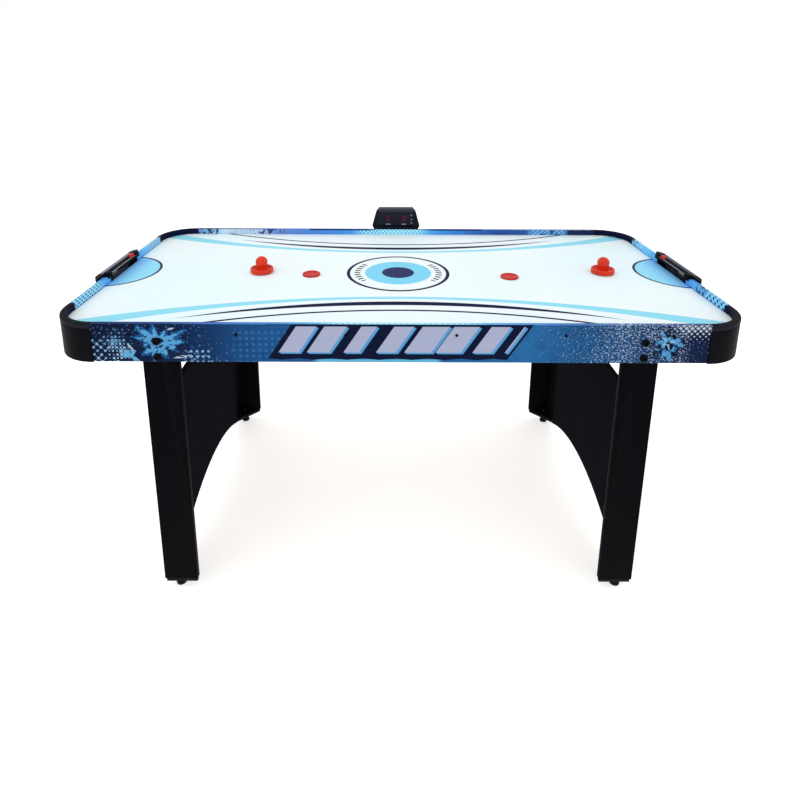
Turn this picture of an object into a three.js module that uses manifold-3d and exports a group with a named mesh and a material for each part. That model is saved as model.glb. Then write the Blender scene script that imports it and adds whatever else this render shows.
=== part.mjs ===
// Air hockey table: 1.83 m long, on four L-shaped legs, with a blower under the play surface.
// Millimetres, +Z up, +X along the table, the floor at z = 0.
// Every sub-part is one closed solid in its own named mesh.
import * as THREE from "three";
import { mergeVertices } from "three/addons/utils/BufferGeometryUtils.js";
import Module from "manifold-3d";

const wasm = await Module();
wasm.setup();

// ---------------------------------------------------------------- driving dimensions
const GAP = 0.3; // clearance between pieces that touch

// table top
const LENGTH = 1829; // over the end rails
const WIDTH = 914; // over the front and back aprons
const CORNER_R = 118.5; // outer radius in plan
const RAIL_TOP = 840; // height of the rail above the floor
const APRON_H = 105;
const BOARD = 15; // thickness of aprons and end rails
const PLAY_DROP = 20; // play surface below the rail top
const PLAY_T = 9; // thickness of the play surface board
const APRON_END_X = 793.5; // where the front and back aprons meet the corner covers
const RAIL_END_Y = 320; // where the end rails meet the corner covers

// corner covers
const COVER_PROUD = 2.5; // stand out past the boards
const COVER_HANG = 1.5; // hang below the boards
const TONGUE_LEN = 28; // splice tongue behind each board
const TONGUE_T = 3.5;

// air chamber
const CHAMBER_H = 40; // batten height
const BATTEN_T = 18;
const CHAMBER_FLOOR_T = 3;

// legs
const LEG_X = 673.5; // outer face of the side board
const LEG_W = 95; // width of each board of the L
const LEG_T = 15;
const LEG_BOTTOM = 39;
const BASE_PLATE_BOTTOM = 28;
const BASE_PLATE_INSET = 2.5;
const FOOT_X = 638;
const FOOT_Y = 412;
const FOOT_R = 14.5;
const FOOT_H = 9;
const FOOT_TRAVEL = 15; // how far a leveler screws out
const STEM_R = 4;

// end panels between the legs
const PANEL_TOP = 563;
const ARCH_TOP = 114; // underside at the middle of the arch

// leg bolts
const BOLT_X = 627.5;
const BOLT_Z = [749, 792];
const BOLT_R = 4;
const BOLT_HEAD_R = 10.5;
const BOLT_HEAD_H = 5;

// goals, one in each end rail
const MOUTH_HALF = 91; // half-width of the mouth
const MOUTH_TOP = 836;
const NOTCH_HALF = 94; // half-width of the notch cut in the end rail
const NOTCH_BOTTOM = 757;
const POCKET_HALF = 150; // half-length of the pocket outside the rail
const POCKET_OUT = 18.5; // stands out past the end rail
const POCKET_TOP = 846.5;
const POCKET_R = 32; // how far along the rail its ends are swept round
const POCKET_WALL = 2.5;
const HAND_HALF = 65; // half-width of the hand opening
const HAND_Z = [768, 796];
const BEZEL_HALF = 118;
const BEZEL_TOP = 845;
const BEZEL_LIP = 2; // overhangs the rail's inner face
const BUMP_START = 90; // raised end blocks of the slide scorer
const BUMP_TOP = 852;
const FRAME_SIDE = 9; // the frame's width beside the mouth
const STRIP = { half: 84, width: 3.2, thick: 0.8, inset: 0.4 }; // silver strip along the bezel's inner edge
const TRACK_W = 5;
const TRACK_DEPTH = 4;
const SLIDER_LEN = 26;
const SLIDER_REST_Y = 75;

// scoreboard behind the back apron
const SCORE_FRONT = 462; // front face, from the table's middle
const SCORE_DEPTH = 36;
const SCORE_BOTTOM = 835.3;
const SCORE_TOP = 921;
const SCORE_HALF = { bottom: 86, widest: 95.5, shoulder: 80, top: 68 }; // half-widths going up
const SCORE_WIDEST_UP = 14; // where it is widest, above the bottom
const SHOULDER_DOWN = 15; // where the upper corners start, below the top
const BROW = { down: 12, deep: 16 }; // the slope cut off the top front edge
const SCORE_WALL = 3;
const SCORE_FACE_T = 4.5; // front wall
const WINDOW_T = 1.9;
const WINDOW_LOW = [80, 845.7]; // half-width and height of the window's lower edge
const WINDOW_HIGH = [69.5, 907.5];
const DIGIT = { x: 32, z: 880.7, halfWidth: 9, halfHeight: 14 };
const BUTTON_X = 62;
const BUTTON_Z = [876.7, 894.7];
const BUTTON_R = 3;
const BUTTON_PROUD = 1.5;
const BUTTON_TRAVEL = 1;
const BRACKET_T = 2.5;
const BRACKET_HALF = 55;
const BRACKET_Z = [783, 913];
const CABLE_R = 5; // hole for the scoreboard's cable
const CABLE_Z = 801;

// blower under the chamber floor
const BLOWER_R = 85;
const BLOWER_H = 52;
const BLOWER_WALL = 2.5;
const MOTOR_R = 25;
const SHAFT_R = 3;
const IMPELLER_R = 68;
const BLADE_COUNT = 12;
const BLOWER_LIP = 12; // width of the mounting flange
const PORT_COUNT = 6; // air ports in the lid
const PORT_R = 9;
const PORT_AT = 44; // distance of the ports from the axis
const OUTLET_R = 60; // hole in the chamber floor
const MOTOR_FLANGE_T = 2;
const GRILLE_T = 2;
const GRILLE_PITCH = 15;
const GRILLE_SLOT = 8;
const GRILLE_OPEN_R = 60;

// switch and power inlet in the back apron
const SWITCH_X = 490;
const INLET_X = 440;
const CONTROL_Z = 796;
const SWITCH_HALF = [10.5, 13]; // the switch body, across and up
const SWITCH_WELL = [8, 10.6];
const SWITCH_RIM = 2.5;
const FLANGE_T = 2; // face flange of the switch and of the inlet
const ROCKER_TILT = 8; // degrees to either side
const INLET_R = 6;
const INLET_FLANGE_R = 9;

// loose pieces
const PUSHER_R = 37.3;
const PUSHER_H = 54;
const PUSHER_RIM_H = 11; // height at which the rim starts to round over
const PUSHER_RIM_R = 3.5; // radius of the rounded rim
const TROUGH_H = 6.5; // floor of the trough between rim and knob
const KNOB_R = 19.5;
const KNOB_WAIST = 4.5; // how much the knob narrows under its dome
const KNOB_SQUASH = 0.9; // the dome's height over its radius
const FELT_T = 1.5;
const FELT_INSET = 3;
const PUCK_R = 28.5;
const PUCK_T = 5.5;
const PUSHERS = { left_pusher: [-446, -8.5], right_pusher: [673, -4] };
const PUCKS = { left_puck: [-281, -33.5], right_puck: [357.5, -50.5] };

// ---------------------------------------------------------------- derived positions
const HALF_L = LENGTH / 2;
const HALF_W = WIDTH / 2;
const INNER_X = HALF_L - BOARD; // inner face of the end rails
const INNER_Y = HALF_W - BOARD; // inner face of the aprons
const APRON_BOTTOM = RAIL_TOP - APRON_H;
const PLAY_TOP = RAIL_TOP - PLAY_DROP;
const PLAY_BOTTOM = PLAY_TOP - PLAY_T;
const CHAMBER_FLOOR_TOP = PLAY_BOTTOM - GAP - CHAMBER_H - GAP;
const CHAMBER_FLOOR_BOTTOM = CHAMBER_FLOOR_TOP - CHAMBER_FLOOR_T;
const LEG_Y = INNER_Y - GAP; // outer face of the front board of the L
const BRACKET_BACK = SCORE_FRONT + SCORE_DEPTH + GAP + BRACKET_T;
const BOLT_FACE = HALF_W + GAP + BOLT_HEAD_H;
// The origin is under the middle of the whole object, from the front bolts to the scoreboard's bracket.
const CENTRE_Y = (BRACKET_BACK - BOLT_FACE) / 2;

// ---------------------------------------------------------------- materials
function finish(color, roughness, metalness = 0) {
  return new THREE.MeshStandardMaterial({ color, roughness, metalness });
}

const PRINTED = finish(0x2f6fb5, 0.35);
const PLAY_WHITE = finish(0xeef8fc, 0.2);
const BLACK_PLASTIC = finish(0x19191e, 0.45);
const GREY_PLASTIC = finish(0x4a4a52, 0.5);
const BLACK_BOARD = finish(0x121015, 0.5);
const RAW_BOARD = finish(0xa58a63, 0.8);
const BLACK_STEEL = finish(0x1a1a1a, 0.4, 0.8);
const STEEL = finish(0xb8bcc0, 0.35, 1);
const RUBBER = finish(0x141414, 0.9);
const SILVER = finish(0xc9ced6, 0.3, 0.6);
const RED = finish(0xd6402c, 0.35);
const PUCK_RED = finish(0xdc4440, 0.35);
const FELT = finish(0x2a2a2c, 1);
const DARK_WINDOW = finish(0x10131c, 0.1);
const CIRCUIT = finish(0x1d4d33, 0.6);

// ---------------------------------------------------------------- solids and booleans
function toSolid(geometry) {
  const bare = geometry.clone();
  bare.deleteAttribute("normal");
  bare.deleteAttribute("uv");
  const merged = mergeVertices(bare, 1e-4);
  return new wasm.Manifold(new wasm.Mesh({
    numProp: 3,
    vertProperties: new Float32Array(merged.attributes.position.array),
    triVerts: new Uint32Array(merged.index.array),
  }));
}

function fromSolid(solid) {
  const mesh = solid.getMesh();
  const geometry = new THREE.BufferGeometry();
  geometry.setAttribute("position", new THREE.BufferAttribute(new Float32Array(mesh.vertProperties), 3));
  geometry.setIndex(new THREE.BufferAttribute(new Uint32Array(mesh.triVerts), 1));
  return geometry;
}

function join(...geometries) {
  return fromSolid(geometries.map(toSolid).reduce((all, next) => all.add(next)));
}

function cut(base, ...tools) {
  return fromSolid(tools.map(toSolid).reduce((left, tool) => left.subtract(tool), toSolid(base)));
}

function box(x0, x1, y0, y1, z0, z1) {
  const geometry = new THREE.BoxGeometry(x1 - x0, y1 - y0, z1 - z0);
  return geometry.translate((x0 + x1) / 2, (y0 + y1) / 2, (z0 + z1) / 2);
}

// A block given by its middle and half-width in x, its two y faces, and its middle and half-height in z.
function block(x, halfX, y0, y1, z, halfZ) {
  return box(x - halfX, x + halfX, y0, y1, z - halfZ, z + halfZ);
}

// A round bar with its axis along "x", "y" or "z", from low to high on that axis.
function bar(axis, radius, low, high, centre, sides = 24) {
  const geometry = new THREE.CylinderGeometry(radius, radius, high - low, sides);
  const middle = (low + high) / 2;
  if (axis === "x") return geometry.rotateZ(-Math.PI / 2).translate(middle, centre[0], centre[1]);
  if (axis === "y") return geometry.translate(centre[0], middle, centre[1]);
  return geometry.rotateX(Math.PI / 2).translate(centre[0], centre[1], middle);
}

// An outline in XY, drawn counter-clockwise and raised from z0 to z1.
function prism(shape, z0, z1, curveSegments = 12) {
  const geometry = new THREE.ExtrudeGeometry(shape, { depth: z1 - z0, bevelEnabled: false, curveSegments });
  return geometry.translate(0, 0, z0);
}

// An outline of (y, z) points, carried along X from x0 to x1.
function alongX(shape, x0, x1, curveSegments = 12) {
  const geometry = prism(shape, x0, x1, curveSegments);
  return geometry.applyMatrix4(new THREE.Matrix4().makeBasis(
    new THREE.Vector3(0, 1, 0), new THREE.Vector3(0, 0, 1), new THREE.Vector3(1, 0, 0)));
}

// An outline of (x, z) points, carried along Y from y0 to y1.
function alongY(shape, y0, y1, curveSegments = 12) {
  const geometry = prism(shape, -y1, -y0, curveSegments);
  return geometry.applyMatrix4(new THREE.Matrix4().makeBasis(
    new THREE.Vector3(1, 0, 0), new THREE.Vector3(0, 0, 1), new THREE.Vector3(0, -1, 0)));
}

// A turned solid about Z from (radius, z) points listed from the bottom up.
function turned(profile, segments = 32) {
  const points = profile.map(([r, z]) => new THREE.Vector2(r, z));
  return new THREE.LatheGeometry(points, segments).rotateX(Math.PI / 2);
}

function polygon(points) {
  return new THREE.Shape(points.map(([a, b]) => new THREE.Vector2(a, b)));
}

// A polygon whose corners are rounded with one radius.
function roundedPolygon(points, radius) {
  const shape = new THREE.Shape();
  const corners = points.map(([a, b]) => new THREE.Vector2(a, b));
  corners.forEach((corner, i) => {
    const before = corners[(i + corners.length - 1) % corners.length];
    const after = corners[(i + 1) % corners.length];
    const inward = before.clone().sub(corner).normalize();
    const outward = after.clone().sub(corner).normalize();
    const halfAngle = Math.acos(inward.dot(outward)) / 2;
    const reach = radius / Math.tan(halfAngle);
    const start = corner.clone().addScaledVector(inward, reach);
    const end = corner.clone().addScaledVector(outward, reach);
    if (i === 0) shape.moveTo(start.x, start.y);
    else shape.lineTo(start.x, start.y);
    shape.quadraticCurveTo(corner.x, corner.y, end.x, end.y);
  });
  shape.closePath();
  return shape;
}

function roundedRectangle(halfX, halfY, radius) {
  const shape = new THREE.Shape();
  const x = halfX - radius;
  const y = halfY - radius;
  shape.absarc(x, y, radius, 0, Math.PI / 2);
  shape.absarc(-x, y, radius, Math.PI / 2, Math.PI);
  shape.absarc(-x, -y, radius, Math.PI, 1.5 * Math.PI);
  shape.absarc(x, -y, radius, 1.5 * Math.PI, 2 * Math.PI);
  shape.closePath();
  return shape;
}

// ---------------------------------------------------------------- scene graph
const table = new THREE.Group();
table.position.y = -CENTRE_Y;

function add(name, geometry, material) {
  const mesh = new THREE.Mesh(geometry, material);
  mesh.name = name;
  table.add(mesh);
  return mesh;
}

// Mirrors a solid drawn in the +X +Y quarter into the quarter with signs sx and sy.
function mirrored(geometry, sx, sy) {
  const flipped = geometry.clone().scale(sx, sy, 1);
  if (sx * sy > 0) return flipped;
  return turnedInsideOut(flipped);
}

function turnedInsideOut(geometry) {
  const index = geometry.index.array;
  for (let i = 0; i < index.length; i += 3) {
    const keep = index[i];
    index[i] = index[i + 1];
    index[i + 1] = keep;
  }
  return geometry;
}

const QUARTERS = {
  front_left: [-1, -1],
  front_right: [1, -1],
  back_left: [-1, 1],
  back_right: [1, 1],
};
const ENDS = { left: -1, right: 1 };

// ---------------------------------------------------------------- table top
function playfield() {
  const outline = roundedRectangle(INNER_X - GAP, INNER_Y - GAP, CORNER_R - BOARD - GAP);
  return prism(outline, PLAY_BOTTOM, PLAY_TOP, 10);
}

function boltHoles(y0, y1) {
  const holes = [];
  for (const x of [-BOLT_X, BOLT_X]) {
    for (const z of BOLT_Z) holes.push(bar("y", BOLT_R + GAP, y0, y1, [x, z], 12));
  }
  return holes;
}

function apron(side) {
  const faces = [side * HALF_W, side * INNER_Y].sort((a, b) => a - b);
  const end = APRON_END_X - GAP;
  const board = box(-end, end, faces[0], faces[1], APRON_BOTTOM, RAIL_TOP);
  return cut(board, ...boltHoles(faces[0] - 1, faces[1] + 1));
}

function backApron() {
  const inletHole = bar("y", INLET_R + GAP, INNER_Y - 1, HALF_W + 1, [INLET_X, CONTROL_Z], 16);
  const [halfX, halfZ] = SWITCH_HALF;
  const switchHole = block(SWITCH_X, halfX + GAP, INNER_Y - 1, HALF_W + 1, CONTROL_Z, halfZ + GAP);
  const cableHole = bar("y", CABLE_R, INNER_Y - 1, HALF_W + 1, [0, CABLE_Z], 12);
  return cut(apron(1), inletHole, switchHole, cableHole);
}

// The end rail has a deep notch for the goal pocket, closed at the top by the bezel.
function endRail() {
  const end = RAIL_END_Y - GAP;
  const board = box(INNER_X, HALF_L, -end, end, APRON_BOTTOM, RAIL_TOP);
  const notch = box(INNER_X - 1, HALF_L + 1, -NOTCH_HALF, NOTCH_HALF, NOTCH_BOTTOM, RAIL_TOP + 1);
  return cut(board, notch);
}

// A quarter bend round the corner with two short straight ends and two splice tongues.
function cornerBand(outerR, innerR, z0, z1) {
  const cx = HALF_L - CORNER_R;
  const cy = HALF_W - CORNER_R;
  const shape = new THREE.Shape();
  shape.moveTo(APRON_END_X, cy + innerR);
  shape.absarc(cx, cy, innerR, Math.PI / 2, 0, true);
  shape.lineTo(cx + innerR, RAIL_END_Y);
  shape.lineTo(cx + outerR, RAIL_END_Y);
  shape.absarc(cx, cy, outerR, 0, Math.PI / 2);
  shape.lineTo(APRON_END_X, cy + outerR);
  shape.closePath();
  return prism(shape, z0, z1, 10);
}

function cornerCover() {
  const outerR = CORNER_R + COVER_PROUD;
  const innerR = CORNER_R - BOARD;
  const wall = cornerBand(outerR, innerR, APRON_BOTTOM - COVER_HANG, RAIL_TOP);
  const tongueLow = APRON_BOTTOM + 4;
  const tongueHigh = PLAY_BOTTOM - 3;
  const inX = box(APRON_END_X - TONGUE_LEN, APRON_END_X + 4, INNER_Y - GAP - TONGUE_T, INNER_Y - GAP,
    tongueLow, tongueHigh);
  const inY = box(INNER_X - GAP - TONGUE_T, INNER_X - GAP, RAIL_END_Y - TONGUE_LEN, RAIL_END_Y + 20,
    tongueLow, tongueHigh);
  const footX = box(APRON_END_X, APRON_END_X + 4, INNER_Y - GAP - TONGUE_T, INNER_Y + 2,
    tongueLow, tongueHigh);
  const footY = box(INNER_X - GAP - TONGUE_T, INNER_X + 2, RAIL_END_Y, RAIL_END_Y + 15,
    tongueLow, tongueHigh);
  return join(wall, inX, inY, footX, footY);
}

function topPieces() {
  add("playfield", playfield(), PLAY_WHITE);
  add("front_apron", apron(-1), PRINTED);
  add("back_apron", backApron(), PRINTED);
  for (const [end, sx] of Object.entries(ENDS)) {
    add(`${end}_end_rail`, mirrored(endRail(), sx, 1), PRINTED);
  }
  for (const [corner, [sx, sy]] of Object.entries(QUARTERS)) {
    add(`${corner}_corner_cover`, mirrored(cornerCover(), sx, sy), BLACK_PLASTIC);
  }
}

// ---------------------------------------------------------------- air chamber
// L-shaped cuts that let the legs and their tapped plates through.
function legNotches(z0, z1) {
  const alongApron = box(LEG_X - LEG_W - 1, LEG_X + 1, LEG_Y - LEG_T - 5, LEG_Y + 5, z0, z1);
  const inward = box(LEG_X - LEG_T - 1, LEG_X + 1, LEG_Y - LEG_W - 1, LEG_Y, z0, z1);
  const notch = join(alongApron, inward);
  return Object.values(QUARTERS).map(([sx, sy]) => mirrored(notch, sx, sy));
}

function chamberFloor() {
  const margin = GAP + TONGUE_T + GAP;
  const outline = roundedRectangle(INNER_X - margin, INNER_Y - margin, CORNER_R - BOARD - margin);
  const sheet = prism(outline, CHAMBER_FLOOR_BOTTOM, CHAMBER_FLOOR_TOP, 6);
  const outlet = bar("z", OUTLET_R, CHAMBER_FLOOR_BOTTOM - 1, CHAMBER_FLOOR_TOP + 1, [0, 0], 24);
  return cut(sheet, outlet, ...legNotches(CHAMBER_FLOOR_BOTTOM - 1, CHAMBER_FLOOR_TOP + 1));
}

function chamberPieces() {
  const low = CHAMBER_FLOOR_TOP + GAP;
  const high = PLAY_BOTTOM - GAP;
  const longHalf = LEG_X - LEG_W - 2;
  const shortHalf = RAIL_END_Y - TONGUE_LEN - 2;
  const y1 = INNER_Y - GAP;
  const x1 = INNER_X - GAP;
  add("chamber_floor", chamberFloor(), RAW_BOARD);
  add("front_batten", box(-longHalf, longHalf, -y1, -y1 + BATTEN_T, low, high), RAW_BOARD);
  add("back_batten", cut(box(-longHalf, longHalf, y1 - BATTEN_T, y1, low, high),
    box(INLET_X - 12, SWITCH_X + 15, y1 - 6, y1 + 1, low - 1, high + 1),
    bar("y", CABLE_R, y1 - BATTEN_T - 1, y1 + 1, [0, CABLE_Z], 12)), RAW_BOARD);
  add("left_batten", box(-x1, -x1 + BATTEN_T, -shortHalf, shortHalf, low, high), RAW_BOARD);
  add("right_batten", box(x1 - BATTEN_T, x1, -shortHalf, shortHalf, low, high), RAW_BOARD);
}

// ---------------------------------------------------------------- blower
// A round case hung under the chamber floor, open at the bottom, with air windows in its top.
const BLOWER_TOP = CHAMBER_FLOOR_BOTTOM - GAP;
const BLOWER_BOTTOM = BLOWER_TOP - BLOWER_H;
const MOTOR_FLANGE_BOTTOM = BLOWER_TOP - BLOWER_WALL - GAP - MOTOR_FLANGE_T;
const IMPELLER_TOP = BLOWER_TOP - 26;
const IMPELLER_BOTTOM = BLOWER_BOTTOM + 5;

function blowerHousing() {
  const lidBottom = BLOWER_TOP - BLOWER_WALL;
  const shell = turned([
    [MOTOR_R + GAP, lidBottom], [BLOWER_R - BLOWER_WALL, lidBottom], [BLOWER_R - BLOWER_WALL, BLOWER_BOTTOM],
    [BLOWER_R, BLOWER_BOTTOM], [BLOWER_R, lidBottom], [BLOWER_R + BLOWER_LIP, lidBottom],
    [BLOWER_R + BLOWER_LIP, BLOWER_TOP],
    [MOTOR_R + GAP, BLOWER_TOP], [MOTOR_R + GAP, lidBottom],
  ], 28);
  const ports = [];
  for (let i = 0; i < PORT_COUNT; i++) {
    const port = bar("z", PORT_R, lidBottom - 1, BLOWER_TOP + 1, [PORT_AT, 0], 10);
    ports.push(port.rotateZ((i + 0.5) * 2 * Math.PI / PORT_COUNT));
  }
  return cut(shell, ...ports);
}

function blowerMotor() {
  const flangeTop = MOTOR_FLANGE_BOTTOM + MOTOR_FLANGE_T;
  return turned([
    [0, IMPELLER_BOTTOM], [SHAFT_R, IMPELLER_BOTTOM], [SHAFT_R, IMPELLER_TOP + 3], [8, IMPELLER_TOP + 3],
    [8, IMPELLER_TOP + 6], [MOTOR_R - 2, IMPELLER_TOP + 6], [MOTOR_R - 2, MOTOR_FLANGE_BOTTOM],
    [MOTOR_R + 6, MOTOR_FLANGE_BOTTOM], [MOTOR_R + 6, flangeTop], [MOTOR_R - 2, flangeTop],
    [MOTOR_R - 2, BLOWER_TOP + 16], [MOTOR_R - 5, BLOWER_TOP + 19], [0, BLOWER_TOP + 19],
  ], 20);
}

function blowerImpeller() {
  const disc = turned([
    [SHAFT_R + GAP, IMPELLER_TOP - 2], [IMPELLER_R, IMPELLER_TOP - 2], [IMPELLER_R, IMPELLER_TOP],
    [SHAFT_R + GAP, IMPELLER_TOP], [SHAFT_R + GAP, IMPELLER_TOP - 2],
  ], 24);
  const hub = turned([
    [SHAFT_R + GAP, IMPELLER_BOTTOM + 2], [9, IMPELLER_BOTTOM + 2], [9, IMPELLER_TOP - 1],
    [SHAFT_R + GAP, IMPELLER_TOP - 1], [SHAFT_R + GAP, IMPELLER_BOTTOM + 2],
  ], 12);
  const shroud = turned([
    [IMPELLER_R - 20, IMPELLER_BOTTOM], [IMPELLER_R, IMPELLER_BOTTOM], [IMPELLER_R, IMPELLER_BOTTOM + 2],
    [IMPELLER_R - 20, IMPELLER_BOTTOM + 2], [IMPELLER_R - 20, IMPELLER_BOTTOM],
  ], 24);
  const blades = [];
  for (let i = 0; i < BLADE_COUNT; i++) {
    const blade = box(IMPELLER_R - 19, IMPELLER_R - 1, -0.8, 0.8, IMPELLER_BOTTOM + 1, IMPELLER_TOP - 1);
    const lean = blade.translate(-IMPELLER_R + 10, 0, 0).rotateZ(0.6).translate(IMPELLER_R - 10, 0, 0);
    blades.push(lean.rotateZ(i * 2 * Math.PI / BLADE_COUNT));
  }
  return join(disc, hub, shroud, ...blades);
}

function blowerGrille() {
  const plateBottom = BLOWER_BOTTOM - GAP - GRILLE_T;
  const plate = bar("z", BLOWER_R, plateBottom, BLOWER_BOTTOM - GAP, [0, 0], 28);
  const slots = [];
  for (let row = -3; row <= 3; row++) {
    const y = row * GRILLE_PITCH;
    const half = Math.sqrt(GRILLE_OPEN_R ** 2 - y ** 2);
    slots.push(box(-half, half, y - GRILLE_SLOT / 2, y + GRILLE_SLOT / 2, plateBottom - 1, BLOWER_BOTTOM));
  }
  return cut(plate, ...slots);
}

function blowerPieces() {
  add("blower_housing", blowerHousing(), BLACK_PLASTIC);
  add("blower_motor", blowerMotor(), STEEL);
  add("blower_impeller", blowerImpeller(), GREY_PLASTIC);
  add("blower_grille", blowerGrille(), BLACK_PLASTIC);
}

// ---------------------------------------------------------------- switch and power inlet
function switchFrame() {
  const [halfX, halfZ] = SWITCH_HALF;
  const seat = HALF_W + GAP;
  const face = seat + FLANGE_T;
  const flange = block(SWITCH_X, halfX + SWITCH_RIM, seat, face, CONTROL_Z, halfZ + SWITCH_RIM);
  const body = block(SWITCH_X, halfX, INNER_Y - 2, seat + 0.5, CONTROL_Z, halfZ);
  const well = block(SWITCH_X, SWITCH_WELL[0], INNER_Y + 1, face + 1, CONTROL_Z, SWITCH_WELL[1]);
  return cut(join(flange, body), well);
}

// A shallow V across its pivot, resting with its upper half pushed in.
function switchRocker() {
  const outline = polygon([[-5, 9], [-5, -9], [1.5, -9.6], [-0.3, 0], [1.5, 9.6]]);
  const half = SWITCH_WELL[0] - 0.5;
  const rocker = alongX(outline, SWITCH_X - half, SWITCH_X + half);
  return rocker.rotateX(THREE.MathUtils.degToRad(ROCKER_TILT)).translate(0, HALF_W, CONTROL_Z);
}

function powerInlet() {
  const seat = HALF_W + GAP;
  const face = seat + FLANGE_T;
  const socketR = 3.2;
  const pinR = 1;
  const profile = [
    [0, INNER_Y - 4], [INLET_R, INNER_Y - 4], [INLET_R, seat], [INLET_FLANGE_R, seat],
    [INLET_FLANGE_R, face - 0.6], [INLET_FLANGE_R - 0.6, face], [socketR, face], [socketR, face - 9],
    [pinR, face - 9], [pinR, face - 1], [0, face - 1],
  ];
  return turned(profile, 16).rotateX(-Math.PI / 2).translate(INLET_X, 0, CONTROL_Z);
}

function controlPieces() {
  add("switch_frame", switchFrame(), BLACK_PLASTIC);
  add("switch_rocker", switchRocker(), BLACK_PLASTIC);
  add("power_inlet", powerInlet(), BLACK_PLASTIC);
}

// ---------------------------------------------------------------- legs
const INNER_LEG_X = LEG_X - LEG_T;
const INNER_LEG_Y = LEG_Y - LEG_T;

function leg() {
  const low = LEG_BOTTOM;
  const high = PLAY_BOTTOM - GAP;
  const outline = polygon([
    [LEG_X - LEG_W, INNER_LEG_Y], [INNER_LEG_X, INNER_LEG_Y], [INNER_LEG_X, LEG_Y - LEG_W],
    [LEG_X, LEG_Y - LEG_W], [LEG_X, LEG_Y], [LEG_X - LEG_W, LEG_Y],
  ]);
  const holes = BOLT_Z.map((z) => bar("y", BOLT_R + GAP, INNER_LEG_Y - 1, LEG_Y + 1, [BOLT_X, z], 12));
  return cut(prism(outline, low, high), ...holes);
}

function basePlate() {
  const x1 = LEG_X - BASE_PLATE_INSET;
  const y1 = LEG_Y - BASE_PLATE_INSET;
  const reach = LEG_W - 2 * BASE_PLATE_INSET;
  const outline = roundedPolygon([
    [x1, y1], [x1 - reach, y1], [x1 - reach, y1 - 10], [x1 - 10, y1 - reach], [x1, y1 - reach],
  ], 3);
  const plate = prism(outline, BASE_PLATE_BOTTOM, LEG_BOTTOM - GAP, 4);
  return cut(plate, bar("z", STEM_R + GAP, 0, LEG_BOTTOM + 5, [FOOT_X, FOOT_Y], 12));
}

function leveler() {
  const neckTop = BASE_PLATE_BOTTOM - GAP;
  const stemTop = LEG_BOTTOM + FOOT_TRAVEL + 3;
  const profile = [
    [0, 0], [FOOT_R, 0], [FOOT_R, FOOT_H - 3], [FOOT_R - 3, FOOT_H], [8, FOOT_H],
    [7, neckTop], [STEM_R, neckTop], [STEM_R, stemTop], [0, stemTop],
  ];
  return turned(profile, 16).translate(FOOT_X, FOOT_Y, 0);
}

// Two bolts through the apron and the leg, held by one tapped plate behind the leg.
function legBolts() {
  const plateFace = INNER_LEG_Y - GAP;
  const plate = box(BOLT_X - 12, BOLT_X + 12, plateFace - 3, plateFace, BOLT_Z[0] - 12, BOLT_Z[1] + 12);
  const shanks = BOLT_Z.map((z) => bar("y", BOLT_R, plateFace - 2, HALF_W + 1, [BOLT_X, z], 10));
  const heads = BOLT_Z.map((z) => {
    const seat = HALF_W + GAP;
    const head = turned([
      [0, seat], [BOLT_HEAD_R, seat], [BOLT_HEAD_R, seat + 1.5], [BOLT_HEAD_R * 0.7, seat + 4],
      [0, seat + BOLT_HEAD_H],
    ], 14);
    return head.rotateX(-Math.PI / 2).translate(BOLT_X, 0, z);
  });
  return join(plate, ...shanks, ...heads);
}

function endPanel() {
  const half = LEG_Y - LEG_W - GAP;
  const sagitta = ARCH_TOP - BASE_PLATE_BOTTOM;
  const radius = (half ** 2 + sagitta ** 2) / (2 * sagitta);
  const centreZ = ARCH_TOP - radius;
  const spread = Math.asin(half / radius);
  const outline = new THREE.Shape();
  outline.moveTo(half, PANEL_TOP);
  outline.lineTo(-half, PANEL_TOP);
  outline.lineTo(-half, BASE_PLATE_BOTTOM);
  outline.absarc(0, centreZ, radius, Math.PI / 2 + spread, Math.PI / 2 - spread, true);
  outline.closePath();
  return alongX(outline, INNER_LEG_X, LEG_X, 20);
}

function legPieces() {
  for (const [corner, [sx, sy]] of Object.entries(QUARTERS)) {
    add(`${corner}_leg`, mirrored(leg(), sx, sy), BLACK_BOARD);
    add(`${corner}_base_plate`, mirrored(basePlate(), sx, sy), BLACK_PLASTIC);
    add(`${corner}_leveler`, leveler().translate((sx - 1) * FOOT_X, (sy - 1) * FOOT_Y, 0), RUBBER);
    add(`${corner}_leg_bolts`, mirrored(legBolts(), sx, sy), BLACK_STEEL);
  }
  for (const [end, sx] of Object.entries(ENDS)) {
    add(`${end}_end_panel`, mirrored(join(endPanel()), sx, 1), BLACK_BOARD);
  }
}

// ---------------------------------------------------------------- goals
// Plan of the pocket at the +X end: flat against the rail, with its two outer corners swept round.
function pocketOutline(x0, x1, half, corner) {
  const shape = new THREE.Shape();
  shape.moveTo(x0, -half);
  shape.absellipse(x0, -half + corner, x1 - x0, corner, -Math.PI / 2, 0);
  shape.absellipse(x0, half - corner, x1 - x0, corner, 0, Math.PI / 2);
  shape.closePath();
  return shape;
}

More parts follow.
